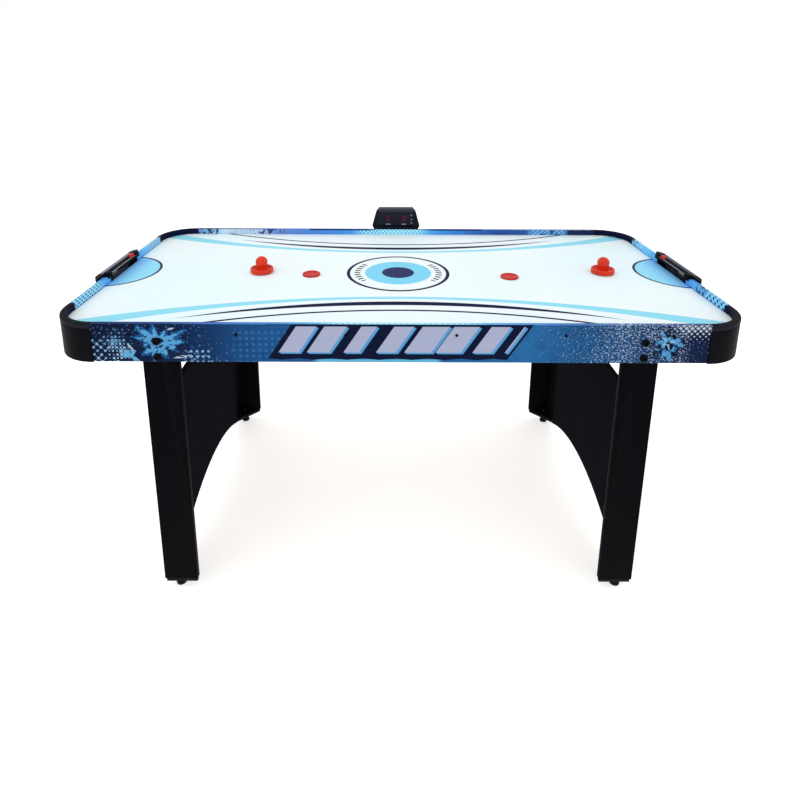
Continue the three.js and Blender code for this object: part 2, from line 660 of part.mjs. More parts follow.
// A tub in the rail's notch, joined to a hooded pocket outside it that is open to the hand.
function goalPocket() {
  const outside = HALF_L + GAP;
  const face = HALF_L + POCKET_OUT;
  const inside = INNER_X + GAP;
  const floor = NOTCH_BOTTOM + GAP;
  const tubHalf = NOTCH_HALF - GAP;
  const wall = POCKET_WALL;
  const shell = prism(pocketOutline(outside, face, POCKET_HALF, POCKET_R), floor, POCKET_TOP);
  const tub = box(inside, outside + 1, -tubHalf, tubHalf, floor, MOUTH_TOP - 2 * GAP);
  const hollow = prism(pocketOutline(outside - 0.1, face - wall, POCKET_HALF - wall, POCKET_R), floor + wall,
    POCKET_TOP - wall);
  const well = box(inside + 2, outside + 1, -MOUTH_HALF, MOUTH_HALF, floor + wall, POCKET_TOP - wall);
  const sill = box(inside - 1, inside + 3, -MOUTH_HALF, MOUTH_HALF, PLAY_TOP - 0.5, POCKET_TOP);
  const hand = box(face - 4, face + 1, -HAND_HALF, HAND_HALF, HAND_Z[0], HAND_Z[1]);
  return cut(join(shell, tub), hollow, well, sill, hand);
}

const BEZEL_FACE = INNER_X - BEZEL_LIP;
const TRACK_X = INNER_X + 4.5; // middle of the slide scorer's track
const TRACK_BOTTOM = BEZEL_TOP - TRACK_DEPTH;

// Bridges the notch on top of the rail, frames the mouth and carries the slide scorer's track.
function goalBezel() {
  const onRail = RAIL_TOP + GAP;
  const frameHalf = MOUTH_HALF + FRAME_SIDE;
  const plate = box(BEZEL_FACE, HALF_L, -BEZEL_HALF, BEZEL_HALF, onRail, BEZEL_TOP);
  const bridge = box(BEZEL_FACE, HALF_L, -NOTCH_HALF + GAP, NOTCH_HALF - GAP, MOUTH_TOP, BEZEL_TOP - 1);
  const frame = box(BEZEL_FACE, INNER_X - GAP, -frameHalf, frameHalf, PLAY_TOP + GAP, BEZEL_TOP - 1);
  const lip = box(BEZEL_FACE, INNER_X - GAP, -BEZEL_HALF, BEZEL_HALF, MOUTH_TOP - 2, BEZEL_TOP - 1);
  const bumpOutline = roundedPolygon([
    [BUMP_START, BEZEL_TOP - 2], [BEZEL_HALF - 2, BEZEL_TOP - 2],
    [BEZEL_HALF - 5, BUMP_TOP], [BUMP_START + 3, BUMP_TOP],
  ], 1.5);
  const bump = join(alongX(bumpOutline, INNER_X - 1, HALF_L - 0.5, 4));
  const mouth = box(BEZEL_FACE - 1, HALF_L + 1, -MOUTH_HALF, MOUTH_HALF, PLAY_TOP - 1, MOUTH_TOP);
  const trackHalf = BUMP_START - 1;
  const track = box(TRACK_X - TRACK_W / 2, TRACK_X + TRACK_W / 2, -trackHalf, trackHalf,
    TRACK_BOTTOM, BEZEL_TOP + 1);
  return cut(join(plate, bridge, frame, lip, bump, mirrored(bump, 1, -1)), mouth, track);
}

function scoreStrip() {
  const edge = BEZEL_FACE + STRIP.inset;
  const low = BEZEL_TOP + GAP;
  return box(edge, edge + STRIP.width, -STRIP.half, STRIP.half, low, low + STRIP.thick);
}

// A thumb block with a tongue in the track, drawn with its middle at y = 0.
function scoreSlider() {
  const half = SLIDER_LEN / 2;
  const low = BEZEL_TOP + GAP;
  const high = BUMP_TOP + 1;
  const outline = roundedPolygon([[-half, low], [half, low], [half - 3, high], [-half + 3, high]], 2);
  const block = alongX(outline, TRACK_X - TRACK_W / 2, TRACK_X + TRACK_W / 2 + 4, 6);
  const tongueHalf = TRACK_W / 2 - GAP;
  const tongue = box(TRACK_X - tongueHalf, TRACK_X + tongueHalf, -half, half, TRACK_BOTTOM + GAP, low + 1);
  return join(block, tongue);
}

function goalPieces() {
  for (const [end, sx] of Object.entries(ENDS)) {
    add(`${end}_goal_pocket`, mirrored(goalPocket(), sx, 1), GREY_PLASTIC);
    add(`${end}_goal_bezel`, mirrored(goalBezel(), sx, 1), BLACK_PLASTIC);
    add(`${end}_score_strip`, mirrored(scoreStrip(), sx, 1), SILVER);
    add(`${end}_score_slider`, mirrored(scoreSlider(), sx, 1), RED).position.y = SLIDER_REST_Y;
  }
}

// ---------------------------------------------------------------- scoreboard
const SCORE_BACK = SCORE_FRONT + SCORE_DEPTH;
const BUTTON_FLANGE_T = 1;
const BUTTON_FLANGE_BACK = SCORE_FRONT + SCORE_FACE_T + GAP + BUTTON_FLANGE_T;

// The scoreboard's front outline in (x, z), drawn smaller by a margin.
function scoreOutline(margin, radius) {
  const low = SCORE_BOTTOM + margin;
  const high = SCORE_TOP - margin;
  const right = [
    [SCORE_HALF.bottom - margin, low], [SCORE_HALF.widest - 1.2 * margin, low + SCORE_WIDEST_UP],
    [SCORE_HALF.shoulder - margin, high - SHOULDER_DOWN], [SCORE_HALF.top - margin, high],
  ];
  const left = right.map(([x, z]) => [-x, z]).reverse();
  return roundedPolygon([...right, ...left], radius);
}

// Outline of the window, in (x, z), drawn larger by a margin, with its lower right corner at x = right.
function windowOutline(margin, right = WINDOW_LOW[0]) {
  const [lowHalf, lowZ] = WINDOW_LOW;
  const [highHalf, highZ] = WINDOW_HIGH;
  const highRight = right - lowHalf + highHalf;
  return roundedPolygon([
    [-lowHalf - margin, lowZ - margin], [right + margin, lowZ - margin],
    [highRight + margin, highZ + margin], [-highHalf - margin, highZ + margin],
  ], 4);
}

function buttonHoles() {
  return BUTTON_Z.map((z) => bar("y", BUTTON_R + GAP, SCORE_FRONT - 1, SCORE_FRONT + 6, [BUTTON_X, z], 16));
}

// What the sloping brow takes off the top front edge, reaching lower by a wall's thickness.
function browWedge(wall) {
  const front = SCORE_FRONT - 1;
  const back = SCORE_FRONT + BROW.deep;
  const over = SCORE_TOP + 1;
  const half = SCORE_HALF.widest + 1;
  return alongX(polygon([
    [front, SCORE_TOP - BROW.down - wall], [back, over - wall], [back, over], [front, over],
  ]), -half, half);
}

// A shell that is open at the back, with a sloping brow and a recess for the window.
function scoreboardHousing() {
  const body = alongY(scoreOutline(0, 3), SCORE_FRONT, SCORE_BACK, 3);
  const room = alongY(scoreOutline(SCORE_WALL, 2), SCORE_FRONT + SCORE_FACE_T, SCORE_BACK + 1, 2);
  const hollow = cut(room, browWedge(SCORE_WALL + 2));
  const brow = browWedge(0);
  const recess = alongY(windowOutline(GAP), SCORE_FRONT - 1, SCORE_FRONT + GAP + WINDOW_T + GAP, 4);
  const opening = alongY(windowOutline(-4, BUTTON_X + 2), SCORE_FRONT - 1, SCORE_FRONT + 6, 4);
  return cut(body, hollow, brow, recess, opening, ...buttonHoles());
}

function scoreboardWindow() {
  const plate = alongY(windowOutline(0), SCORE_FRONT + GAP, SCORE_FRONT + GAP + WINDOW_T, 4);
  return cut(plate, ...buttonHoles());
}

// Circuit board with two digit blocks, a key switch behind each button and a spacer to the back plate.
function scoreboardBoard() {
  const front = SCORE_FRONT + 12;
  const board = box(-52, BUTTON_X + 6, front, front + 1.6, DIGIT.z - 25, DIGIT.z + 23);
  const digits = [-DIGIT.x, DIGIT.x].map((x) => (
    block(x, DIGIT.halfWidth, SCORE_FRONT + SCORE_FACE_T + GAP, front + 0.5, DIGIT.z, DIGIT.halfHeight)));
  const keyFace = BUTTON_FLANGE_BACK + BUTTON_TRAVEL + GAP;
  const keys = BUTTON_Z.map((z) => block(BUTTON_X, 3, keyFace, front + 0.5, z, 3));
  const spacer = block(0, 20, front + 1, SCORE_BACK - GAP, DIGIT.z, 8);
  return join(board, ...digits, ...keys, spacer);
}

// The button's cap passes through the wall, and its flange stays behind it.
function scoreButton(z) {
  const flangeFront = BUTTON_FLANGE_BACK - BUTTON_FLANGE_T;
  const flangeR = BUTTON_R + 1.5;
  const face = SCORE_FRONT - BUTTON_PROUD;
  const profile = [
    [0, BUTTON_FLANGE_BACK], [flangeR, BUTTON_FLANGE_BACK], [flangeR, flangeFront],
    [BUTTON_R, flangeFront], [BUTTON_R, face + 0.6], [BUTTON_R - 0.6, face], [0, face],
  ];
  const button = turned(profile.map(([r, y]) => [r, -y]), 16);
  return button.rotateX(Math.PI / 2).translate(BUTTON_X, 0, z);
}

// A bent steel strip: down the apron, back under the housing and up behind it.
function scoreboardBracket() {
  const y0 = HALF_W + GAP;
  const y1 = BRACKET_BACK;
  const shelfTop = SCORE_BOTTOM - GAP;
  const [low, high] = BRACKET_Z;
  const outline = polygon([
    [y0, low], [y0 + BRACKET_T, low], [y0 + BRACKET_T, shelfTop - BRACKET_T], [y1, shelfTop - BRACKET_T],
    [y1, high], [y1 - BRACKET_T, high], [y1 - BRACKET_T, shelfTop], [y0, shelfTop],
  ]);
  const strip = alongX(outline, -BRACKET_HALF, BRACKET_HALF);
  const screwHoles = [-40, 40].map((x) => bar("y", 2.6, y0 - 1, y0 + 4, [x, low + 10], 10));
  const cableHole = bar("y", CABLE_R, y0 - 1, y0 + 4, [0, CABLE_Z], 12);
  return cut(strip, ...screwHoles, cableHole);
}

function scoreboardPieces() {
  add("scoreboard_housing", scoreboardHousing(), BLACK_PLASTIC);
  add("scoreboard_window", scoreboardWindow(), DARK_WINDOW);
  add("scoreboard_board", scoreboardBoard(), CIRCUIT);
  add("scoreboard_bracket", scoreboardBracket(), BLACK_STEEL);
  add("mode_button", scoreButton(BUTTON_Z[0]), GREY_PLASTIC);
  add("reset_button", scoreButton(BUTTON_Z[1]), GREY_PLASTIC);
}

// ---------------------------------------------------------------- loose pieces
// A saucer with a raised rim and a domed knob, on a felt disc.
function pusher() {
  const low = PLAY_TOP + GAP + FELT_T + GAP;
  const top = PLAY_TOP + PUSHER_H;
  const rimLow = low + PUSHER_RIM_H;
  const rimMiddle = PUSHER_R - PUSHER_RIM_R;
  const profile = [[0, low], [PUSHER_R - 1.5, low], [PUSHER_R, low + 2], [PUSHER_R, rimLow]];
  for (let i = 1; i <= 4; i++) {
    const angle = i * Math.PI / 4;
    profile.push([rimMiddle + PUSHER_RIM_R * Math.cos(angle), rimLow + PUSHER_RIM_R * Math.sin(angle)]);
  }
  profile.push([rimMiddle - PUSHER_RIM_R - 2, low + TROUGH_H], [KNOB_R - 1, low + TROUGH_H + 0.5]);
  const waist = KNOB_R - KNOB_WAIST;
  profile.push([waist + 0.5, rimLow], [waist, low + 19], [KNOB_R - 1.5, low + 25]);
  const domeH = KNOB_R * KNOB_SQUASH;
  for (let i = 0; i <= 5; i++) {
    const angle = i * Math.PI / 10;
    profile.push([i === 5 ? 0 : KNOB_R * Math.cos(angle), top - domeH + domeH * Math.sin(angle)]);
  }
  return turned(profile, 24);
}

function felt() {
  const low = PLAY_TOP + GAP;
  return bar("z", PUSHER_R - FELT_INSET, low, low + FELT_T, [0, 0], 24);
}

function puck() {
  const low = PLAY_TOP + GAP;
  const high = low + PUCK_T;
  const edge = 0.8;
  return turned([
    [0, low], [PUCK_R - edge, low], [PUCK_R, low + edge],
    [PUCK_R, high - edge], [PUCK_R - edge, high], [0, high],
  ], 24);
}

function loosePieces() {
  for (const [name, [x, y]] of Object.entries(PUSHERS)) {
    add(name, pusher(), RED).position.set(x, y, 0);
    add(`${name}_felt`, felt(), FELT).position.set(x, y, 0);
  }
  for (const [name, [x, y]] of Object.entries(PUCKS)) {
    add(name, puck(), PUCK_RED).position.set(x, y, 0);
  }
}

topPieces();
chamberPieces();
blowerPieces();
controlPieces();
legPieces();
goalPieces();
scoreboardPieces();
loosePieces();

export default table;
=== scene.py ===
# Looks for the air hockey table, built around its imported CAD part. Metres, the part's own frame.
import math

import bmesh
import bpy
from mathutils import Matrix, Vector


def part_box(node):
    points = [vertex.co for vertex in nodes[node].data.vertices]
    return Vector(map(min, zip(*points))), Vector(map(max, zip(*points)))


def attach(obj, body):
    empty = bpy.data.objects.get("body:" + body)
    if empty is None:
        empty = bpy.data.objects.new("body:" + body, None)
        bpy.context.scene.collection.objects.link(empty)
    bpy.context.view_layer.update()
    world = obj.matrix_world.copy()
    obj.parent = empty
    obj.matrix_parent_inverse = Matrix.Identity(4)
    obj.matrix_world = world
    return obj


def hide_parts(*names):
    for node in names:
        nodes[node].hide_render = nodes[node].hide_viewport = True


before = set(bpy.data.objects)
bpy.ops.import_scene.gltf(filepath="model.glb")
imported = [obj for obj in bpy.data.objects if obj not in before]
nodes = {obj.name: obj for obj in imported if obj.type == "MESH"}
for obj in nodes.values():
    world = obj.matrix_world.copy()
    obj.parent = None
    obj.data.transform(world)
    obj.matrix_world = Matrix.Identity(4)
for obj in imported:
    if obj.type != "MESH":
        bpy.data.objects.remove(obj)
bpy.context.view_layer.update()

MM = 0.001

# ---------------------------------------------------------------- camera
# The photographer stands in front of the table, a little above it, and looks slightly down.
# Angles are in radians.
CAMERA_AT = (-0.0396, -1.8775, 1.4834)
CAMERA_YAW = 0.00265
CAMERA_PITCH = 0.24266
CAMERA_ROLL = 0.00454
LENS = 26.803
SHIFT = (0.01532, -0.23537)

# ---------------------------------------------------------------- places taken from the frame
FIELD_LOW, FIELD_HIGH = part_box("playfield")
MIDDLE_Y = (FIELD_LOW.y + FIELD_HIGH.y) / 2
PLAY_TOP = FIELD_HIGH.z
FRONT_LOW, FRONT_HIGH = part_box("front_apron")
BACK_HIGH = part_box("back_apron")[1]
RIGHT_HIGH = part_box("right_end_rail")[1]
RAIL_TOP = FRONT_HIGH.z
RAIL_BOTTOM = FRONT_LOW.z
BOARD = FRONT_HIGH.y - FRONT_LOW.y
HALF_LENGTH = RIGHT_HIGH.x
HALF_WIDTH = (BACK_HIGH.y - FRONT_LOW.y) / 2
GAP = 0.3 * MM

# ---------------------------------------------------------------- sizes of details
# Those that the frame doesn't tell are the same as in the CAD part.
CORNER_R = 118.5 * MM  # outer radius of the corners in plan
COVER_PROUD = 2.5 * MM
COVER_HANG = 1.5 * MM
SCREW_X = (0.142, 0.422, 0.697)
SCREW_Z = 0.8115
SCREW_R = 4 * MM
BOLT_X = 0.6275
BOLT_Z = (0.749, 0.792)
BOLT_HEAD_R = 10.5 * MM
BOLT_HEAD_H = 5 * MM

QUARTERS = {
    "front_left": (-1, -1),
    "front_right": (1, -1),
    "back_left": (-1, 1),
    "back_right": (1, 1),
}
ENDS = {"left": -1, "right": 1}


# ---------------------------------------------------------------- colours
def rgb(red, green, blue):
    """A screen colour, each part 0 to 255, as the linear colour that shaders use."""
    parts = [part / 255 for part in (red, green, blue)]
    linear = [p / 12.92 if p <= 0.04045 else ((p + 0.055) / 1.055) ** 2.4 for p in parts]
    return (*linear, 1)


INK = rgb(24, 24, 66)
UPRIGHT_LIGHT = 1.5  # how much stronger the pale floor makes the light on upright faces


def ink(red, green, blue):
    """The paint that shows about this screen colour on an upright face."""
    linear = rgb(red, green, blue)
    return (*[part / UPRIGHT_LIGHT for part in linear[:3]], 1)


LAVENDER = ink(187, 194, 224)
NAVY = ink(9, 21, 54)
WHITE = rgb(240, 251, 253)


# ---------------------------------------------------------------- formulas made of nodes
class Value:
    """A number worked out by a material's nodes, so that a pattern is written as a formula."""

    def __init__(self, tree, socket):
        self.tree = tree
        self.socket = socket

    def do(self, operation, *others, clamp=False):
        node = self.tree.nodes.new("ShaderNodeMath")
        node.operation = operation
        node.use_clamp = clamp
        for socket, value in zip(node.inputs, (self, *others)):
            if isinstance(value, Value):
                self.tree.links.new(value.socket, socket)
            else:
                socket.default_value = value
        return Value(self.tree, node.outputs[0])

    def __add__(self, other):
        return self.do("ADD", other)

    def __sub__(self, other):
        return self.do("SUBTRACT", other)

    def __mul__(self, other):
        return self.do("MULTIPLY", other)

    def __truediv__(self, other):
        return self.do("DIVIDE", other)

    def __neg__(self):
        return self.do("MULTIPLY", -1)

    def __abs__(self):
        return self.do("ABSOLUTE")

    def least(self, other):
        return self.do("MINIMUM", other)

    def most(self, other):
        return self.do("MAXIMUM", other)

    def below(self, edge, soft=0.4 * MM):
        """1 where this is under the edge, 0 where it is over, with a soft step between."""
        return ((self - edge) * (-1 / soft)).do("ADD", 0.5, clamp=True)

    def above(self, edge, soft=0.4 * MM):
        return ((self - edge) * (1 / soft)).do("ADD", 0.5, clamp=True)

    def between(self, low, high, soft=0.4 * MM):
        return self.above(low, soft) * self.below(high, soft)

    def ramp(self, low, high):
        """0 at low, 1 at high, straight between."""
        return ((self - low) * (1 / (high - low))).do("ADD", 0, clamp=True)

    def cell(self, pitch, shift=0.0):
        """How far this is from the nearest line of a grid."""
        return abs((self + shift).do("WRAP", pitch / 2, -pitch / 2))

    def length_with(self, other):
        return (self * self + other * other).do("SQRT")


class Paint:
    """One material: a ground colour, marks painted over it in turn, and a surface."""

    def __init__(self, name, ground, roughness, metallic=0.0):
        self.material = bpy.data.materials.new(name)
        self.material.use_nodes = True
        self.material.diffuse_color = ground
        self.tree = self.material.node_tree
        self.shader = self.tree.nodes["Principled BSDF"]
        self.shader.inputs["Roughness"].default_value = roughness
        self.shader.inputs["Metallic"].default_value = metallic
        self.shader.inputs["Base Color"].default_value = ground
        self.ground = ground
        self.colour = None
        place = self.tree.nodes.new("ShaderNodeTexCoord")
        self.place = place.outputs["Object"]
        axes = self.tree.nodes.new("ShaderNodeSeparateXYZ")
        self.tree.links.new(self.place, axes.inputs[0])
        self.x, self.y, self.z = (Value(self.tree, output) for output in axes.outputs)

    def set(self, **inputs):
        for name, value in inputs.items():
            self.shader.inputs[name.replace("_", " ")].default_value = value
        return self

    def noise(self, scale, detail=2.0, stretch=(1, 1, 1), roughness=0.5):
        place = self.place
        if stretch != (1, 1, 1):
            mapping = self.tree.nodes.new("ShaderNodeMapping")
            mapping.inputs["Scale"].default_value = stretch
            self.tree.links.new(self.place, mapping.inputs["Vector"])
            place = mapping.outputs[0]
        node = self.tree.nodes.new("ShaderNodeTexNoise")
        node.inputs["Scale"].default_value = scale
        node.inputs["Detail"].default_value = detail
        node.inputs["Roughness"].default_value = roughness
        self.tree.links.new(place, node.inputs["Vector"])
        return Value(self.tree, node.outputs[0])

    def specks(self, scale, randomness=1.0):
        """Distance to scattered points, in shares of their spacing."""
        node = self.tree.nodes.new("ShaderNodeTexVoronoi")
        node.inputs["Scale"].default_value = scale
        node.inputs["Randomness"].default_value = randomness
        self.tree.links.new(self.place, node.inputs["Vector"])
        return Value(self.tree, node.outputs["Distance"])

    def over(self, colour, mask):
        """Paints a colour, or a ramp's colour, where the mask is 1."""
        mix = self.tree.nodes.new("ShaderNodeMix")
        mix.data_type = "RGBA"
        self.tree.links.new(mask.socket, mix.inputs[0])
        if self.colour is None:
            mix.inputs[6].default_value = self.ground
        else:
            self.tree.links.new(self.colour, mix.inputs[6])
        if isinstance(colour, tuple):
            mix.inputs[7].default_value = colour
        else:
            self.tree.links.new(colour, mix.inputs[7])
        self.colour = mix.outputs[2]
        self.tree.links.new(self.colour, self.shader.inputs["Base Color"])
        return self

    def ramp_colour(self, value, low, high, stops):
        """A row of colours spread from low to high along a value, to paint with."""
        node = self.tree.nodes.new("ShaderNodeValToRGB")
        self.tree.links.new(value.ramp(low, high).socket, node.inputs[0])
        row = node.color_ramp.elements
        while len(row) < len(stops):
            row.new(0.5)
        for element, (place, colour) in zip(row, stops):
            element.position = (place - low) / (high - low)
            element.color = colour
        return node.outputs[0]

    def bump(self, height, distance, strength=1.0):
        node = self.tree.nodes.new("ShaderNodeBump")
        node.inputs["Strength"].default_value = strength
        node.inputs["Distance"].default_value = distance
        self.tree.links.new(height.socket, node.inputs["Height"])
        self.tree.links.new(node.outputs[0], self.shader.inputs["Normal"])
        return self

    def rough(self, value):
        self.tree.links.new(value.socket, self.shader.inputs["Roughness"])
        return self


# ---------------------------------------------------------------- printed rails
# Prints are drawn in millimetres: u runs along a rail, v runs up its outer face from the lower edge.
BANNER_LEAN = 0.65  # how far the banner's bars lean, sideways over upward
BANNER_HALF = 305
BANNER_MIDDLE = 62  # height at which the lean is centred
BANNER_LOW = 28  # the bars' lower and upper ends
BANNER_HIGH = 100
BAR_PITCH = 84
FACE_H = (RAIL_TOP - RAIL_BOTTOM) / MM


def lattice(u, v, pitch, stagger=True):
    """Distance to the nearest dot of a grid, with every other row moved half a step."""
    straight = u.cell(pitch).length_with(v.cell(pitch))
    if not stagger:
        return straight
    moved = u.cell(pitch, pitch / 2).length_with(v.cell(pitch, pitch / 2))
    return straight.least(moved)


def diamonds(u, v, pitch):
    """Like a staggered lattice, but its lines of equal distance are diamonds."""
    straight = u.cell(pitch) + v.cell(pitch)
    moved = u.cell(pitch, pitch / 2) + v.cell(pitch, pitch / 2)
    return straight.least(moved)


def shard(u, v, place):
    """1 inside a leaning four-sided splinter: its middle, half-sizes and sideways lean."""
    middle_u, middle_v, half_width, half_height, lean = place
    dv = v - middle_v
    du = u - middle_u - dv * lean
    return (abs(du) - half_width).most(abs(dv) - half_height).below(0, 1)


def shards(paint, u, v, colour, places):
    for place in places:
        paint.over(colour, shard(u, v, place))


def print_left_halftone(paint, u, v):
    """Light rings round navy dots, uneven, closing up towards the top, some with a light dot inside."""
    edge = (paint.noise(60, 2) - 0.5) * 70
    zone = (u + edge).below(-698, 8) * v.below(92, 6)
    dot = lattice(u, v, 20)
    uneven = (paint.noise(45, 2) - 0.5) * 7
    closing = v.ramp(56, 100) * 4 + uneven
    ring = (dot - closing).above(7, 1) * dot.below(9.8, 1)
    light_dot = (dot + uneven).below(2.6, 1) * u.above(-750, 20)
    light = paint.ramp_colour(v, 0, 100, [
        (0, ink(176, 220, 250)), (60, ink(120, 178, 224)), (100, ink(60, 110, 170)),
    ])
    paint.over(light, zone * ring.most(light_dot))
    flecks = paint.specks(120).below(0.17, 0.05) * u.below(-500, 30)
    paint.over(ink(116, 168, 214), flecks * v.above(50, 30) * 0.8)


def rays(paint, u, v, place, count, spread):
    """1 on tapering rays that leave a hollow middle: middle, reach, and stretch along the rail."""
    middle_u, middle_v, reach, stretch = place
    du = (u - middle_u) / stretch
    dv = v - middle_v
    radius = du.length_with(dv)
    angle = dv.do("ARCTAN2", du)
    ragged = (angle * 3 + 0.7).do("SINE") * (reach * 0.22) + (paint.noise(70, 2) - 0.5) * reach
    limit = ragged + reach
    off_ray = angle.cell(2 * math.pi / count) * radius
    return (off_ray - (limit - radius) * spread).below(0, 1) * radius.above(reach * 0.3, 1)


def print_left_burst(paint, u, v):
    """A cluster of light splinters round a dark core, with pale glints."""
    paint.over(ink(30, 96, 156), rays(paint, u, v, (-624, 54, 56, 1.3), 11, 0.4))
    paint.over(ink(96, 176, 234), rays(paint, u, v, (-624, 54, 46, 1.3), 11, 0.28))
    paint.over(ink(96, 176, 234), rays(paint, u, v, (-612, 40, 24, 1.5), 5, 0.6))
    shards(paint, u, v, ink(196, 210, 232), [
        (-588, 92, 6, 3, 1.6), (-566, 14, 13, 4, 2.6), (-694, 40, 3, 8, -0.7),
    ])
    shards(paint, u, v, ink(110, 184, 238), [(-700, 22, 14, 10, 0.5), (-686, 8, 8, 6, -1.0)])
    chips = paint.noise(95, 3).above(0.6, 0.04) * shard(u, v, (-624, 50, 74, 46, 0.0))
    paint.over(NAVY, chips * 0.9)


def print_left_spray(paint, u, v):
    """Light flakes, thickest low down, that thin out towards faint rows of dots."""
    low = v.ramp(62, 6)
    near = u.ramp(-395, -540)
    zone = u.between(-562, -380, 10)
    flakes = paint.noise(190, 3, roughness=0.6)
    edge = low * near * -0.17 + 0.70
    paint.over(ink(140, 196, 236), zone * ((flakes - edge) * 30).do("ADD", 0, clamp=True))
    dots = lattice(u, v, 15, stagger=False)
    rows = u.between(-560, -490, 14) * v.below(36, 10)
    paint.over(ink(150, 206, 242), rows * dots.below(3.6, 1) * 0.85)
    faint = lattice(u, v, 16.5, stagger=False).below(4.3, 1.2)
    paint.over(ink(52, 118, 182), faint * u.between(-425, -285, 40) * v.below(96, 6) * 0.8)


def print_right_spray(paint, u, v):
    """Fine pale flakes that thicken towards the right."""
    thick = u.ramp(310, 560)
    flakes = paint.noise(235, 3, stretch=(0.8, 1, 1.1), roughness=0.58)
    drift = paint.noise(20, 2)
    edge = thick * -0.145 + drift * -0.12 + 0.745
    zone = u.above(345, 14) * u.below(735, 24)
    paint.over(ink(176, 196, 224), zone * ((flakes - edge) * 28).do("ADD", 0, clamp=True))
    corner = (v * 0.5 + u).ramp(705, 775) * v.ramp(52, 98)
    paint.over(ink(206, 218, 234), corner.above(0.02, 0.02) * (diamonds(u, v, 15) - corner * 5.6).below(0, 1))
    paint.over(ink(92, 122, 168), paint.specks(135).below(0.2, 0.05) * u.above(725, 8) * v.below(60, 20))


def print_right_burst(paint, u, v):
    """A smaller ragged ring of light splinters round a navy core."""
    core = (u - 688).length_with((v - 48) * 0.8)
    paint.over(NAVY, core.below(27, 2))
    paint.over(ink(88, 168, 228), rays(paint, u, v, (688, 48, 42, 0.86), 9, 0.42))
    chips = paint.noise(150, 3).above(0.55, 0.04) * core.below(44, 1)
    paint.over(NAVY, chips * 0.9)
    paint.over(ink(150, 200, 238), rays(paint, u, v, (684, 60, 22, 0.9), 5, 0.3))


def leaning_bars(u, v, shift=0.0):
    """1 on the banner's bars, moved right by a shift and down by 0.7 of it; their widths vary."""
    up = v + shift * 0.7
    lean = u - shift - (up - BANNER_MIDDLE) * BANNER_LEAN
    half_width = (lean * 0.021).do("SINE") * 6 + (lean * 0.0113).do("SINE") * 4 + 28
    bars = (lean.cell(BAR_PITCH, BAR_PITCH / 4) - half_width).below(0, 1)
    return bars * abs(lean).below(BANNER_HALF - 12, 1) * up.between(BANNER_LOW, BANNER_HIGH, 1)


def print_banner(paint, u, v):
    """Leaning abstract bars with a bright lower right edge, on a dark ground."""
    lean = u - (v - BANNER_MIDDLE) * BANNER_LEAN
    bright = abs(u + 60).below(160, 20) * v.below(9, 3)
    paint.over(ink(110, 196, 240), bright)
    hem = lean.cell(BAR_PITCH, BAR_PITCH / 4) * 0.1 + 7
    ground = abs(lean).below(BANNER_HALF + 4, 1) * (v - hem).above(0, 1) * v.below(FACE_H + 3, 1)
    paint.over(NAVY, ground)
    for shift in (6, 4, 2):
        paint.over(ink(98, 174, 232), leaning_bars(u, v, shift))
    paint.over(LAVENDER, leaning_bars(u, v))


def print_outer_face(paint, u, v):
    """The abstract blue print of an apron's outer face."""
    ground = paint.ramp_colour(u, -800, 800, [
        (-800, ink(10, 23, 54)), (-560, ink(12, 38, 80)), (-480, ink(20, 62, 114)),
        (-420, ink(28, 80, 136)), (-335, ink(32, 92, 154)), (330, ink(44, 116, 178)),
        (400, ink(38, 102, 162)), (560, ink(24, 80, 132)), (680, ink(16, 46, 90)),
        (790, ink(11, 24, 58)),
    ])
    paint.over(ground, v.above(-100, 1))
    cloud = paint.noise(26, 3)
    paint.over(ink(14, 44, 92), cloud.ramp(0.52, 0.80) * 0.4)
    print_left_halftone(paint, u, v)
    print_left_spray(paint, u, v)
    print_left_burst(paint, u, v)
    print_right_spray(paint, u, v)
    print_right_burst(paint, u, v)
    print_banner(paint, u, v)


def print_top_strip(paint, x, depth, face, edge_width):
    """The lighter strip along a long rail's top, with the banner's ground over its outer edge."""
    strip = paint.ramp_colour(x, -800, 800, [
        (-800, rgb(20, 42, 86)), (-600, rgb(34, 70, 130)), (-480, rgb(66, 112, 184)),
        (-320, rgb(72, 138, 206)), (-180, rgb(104, 190, 232)), (0, rgb(140, 220, 246)),
        (150, rgb(110, 196, 240)), (280, rgb(84, 156, 224)), (420, rgb(60, 118, 186)),
        (560, rgb(70, 112, 168)), (800, rgb(34, 56, 104)),
    ])
    paint.over(strip, face)
    pale = paint.specks(150).below(0.3, 0.05) * abs(x - 660).below(150, 60)
    paint.over(rgb(206, 220, 236), face * pale)
    dots = lattice(x, depth, 15)
    paint.over(rgb(200, 244, 252), face * dots.below(4, 1) * abs(x).below(190, 60))
    edge = depth.below(edge_width, 1) * abs(x).below(345, 6)
    paint.over(rgb(24, 44, 92), face * edge)


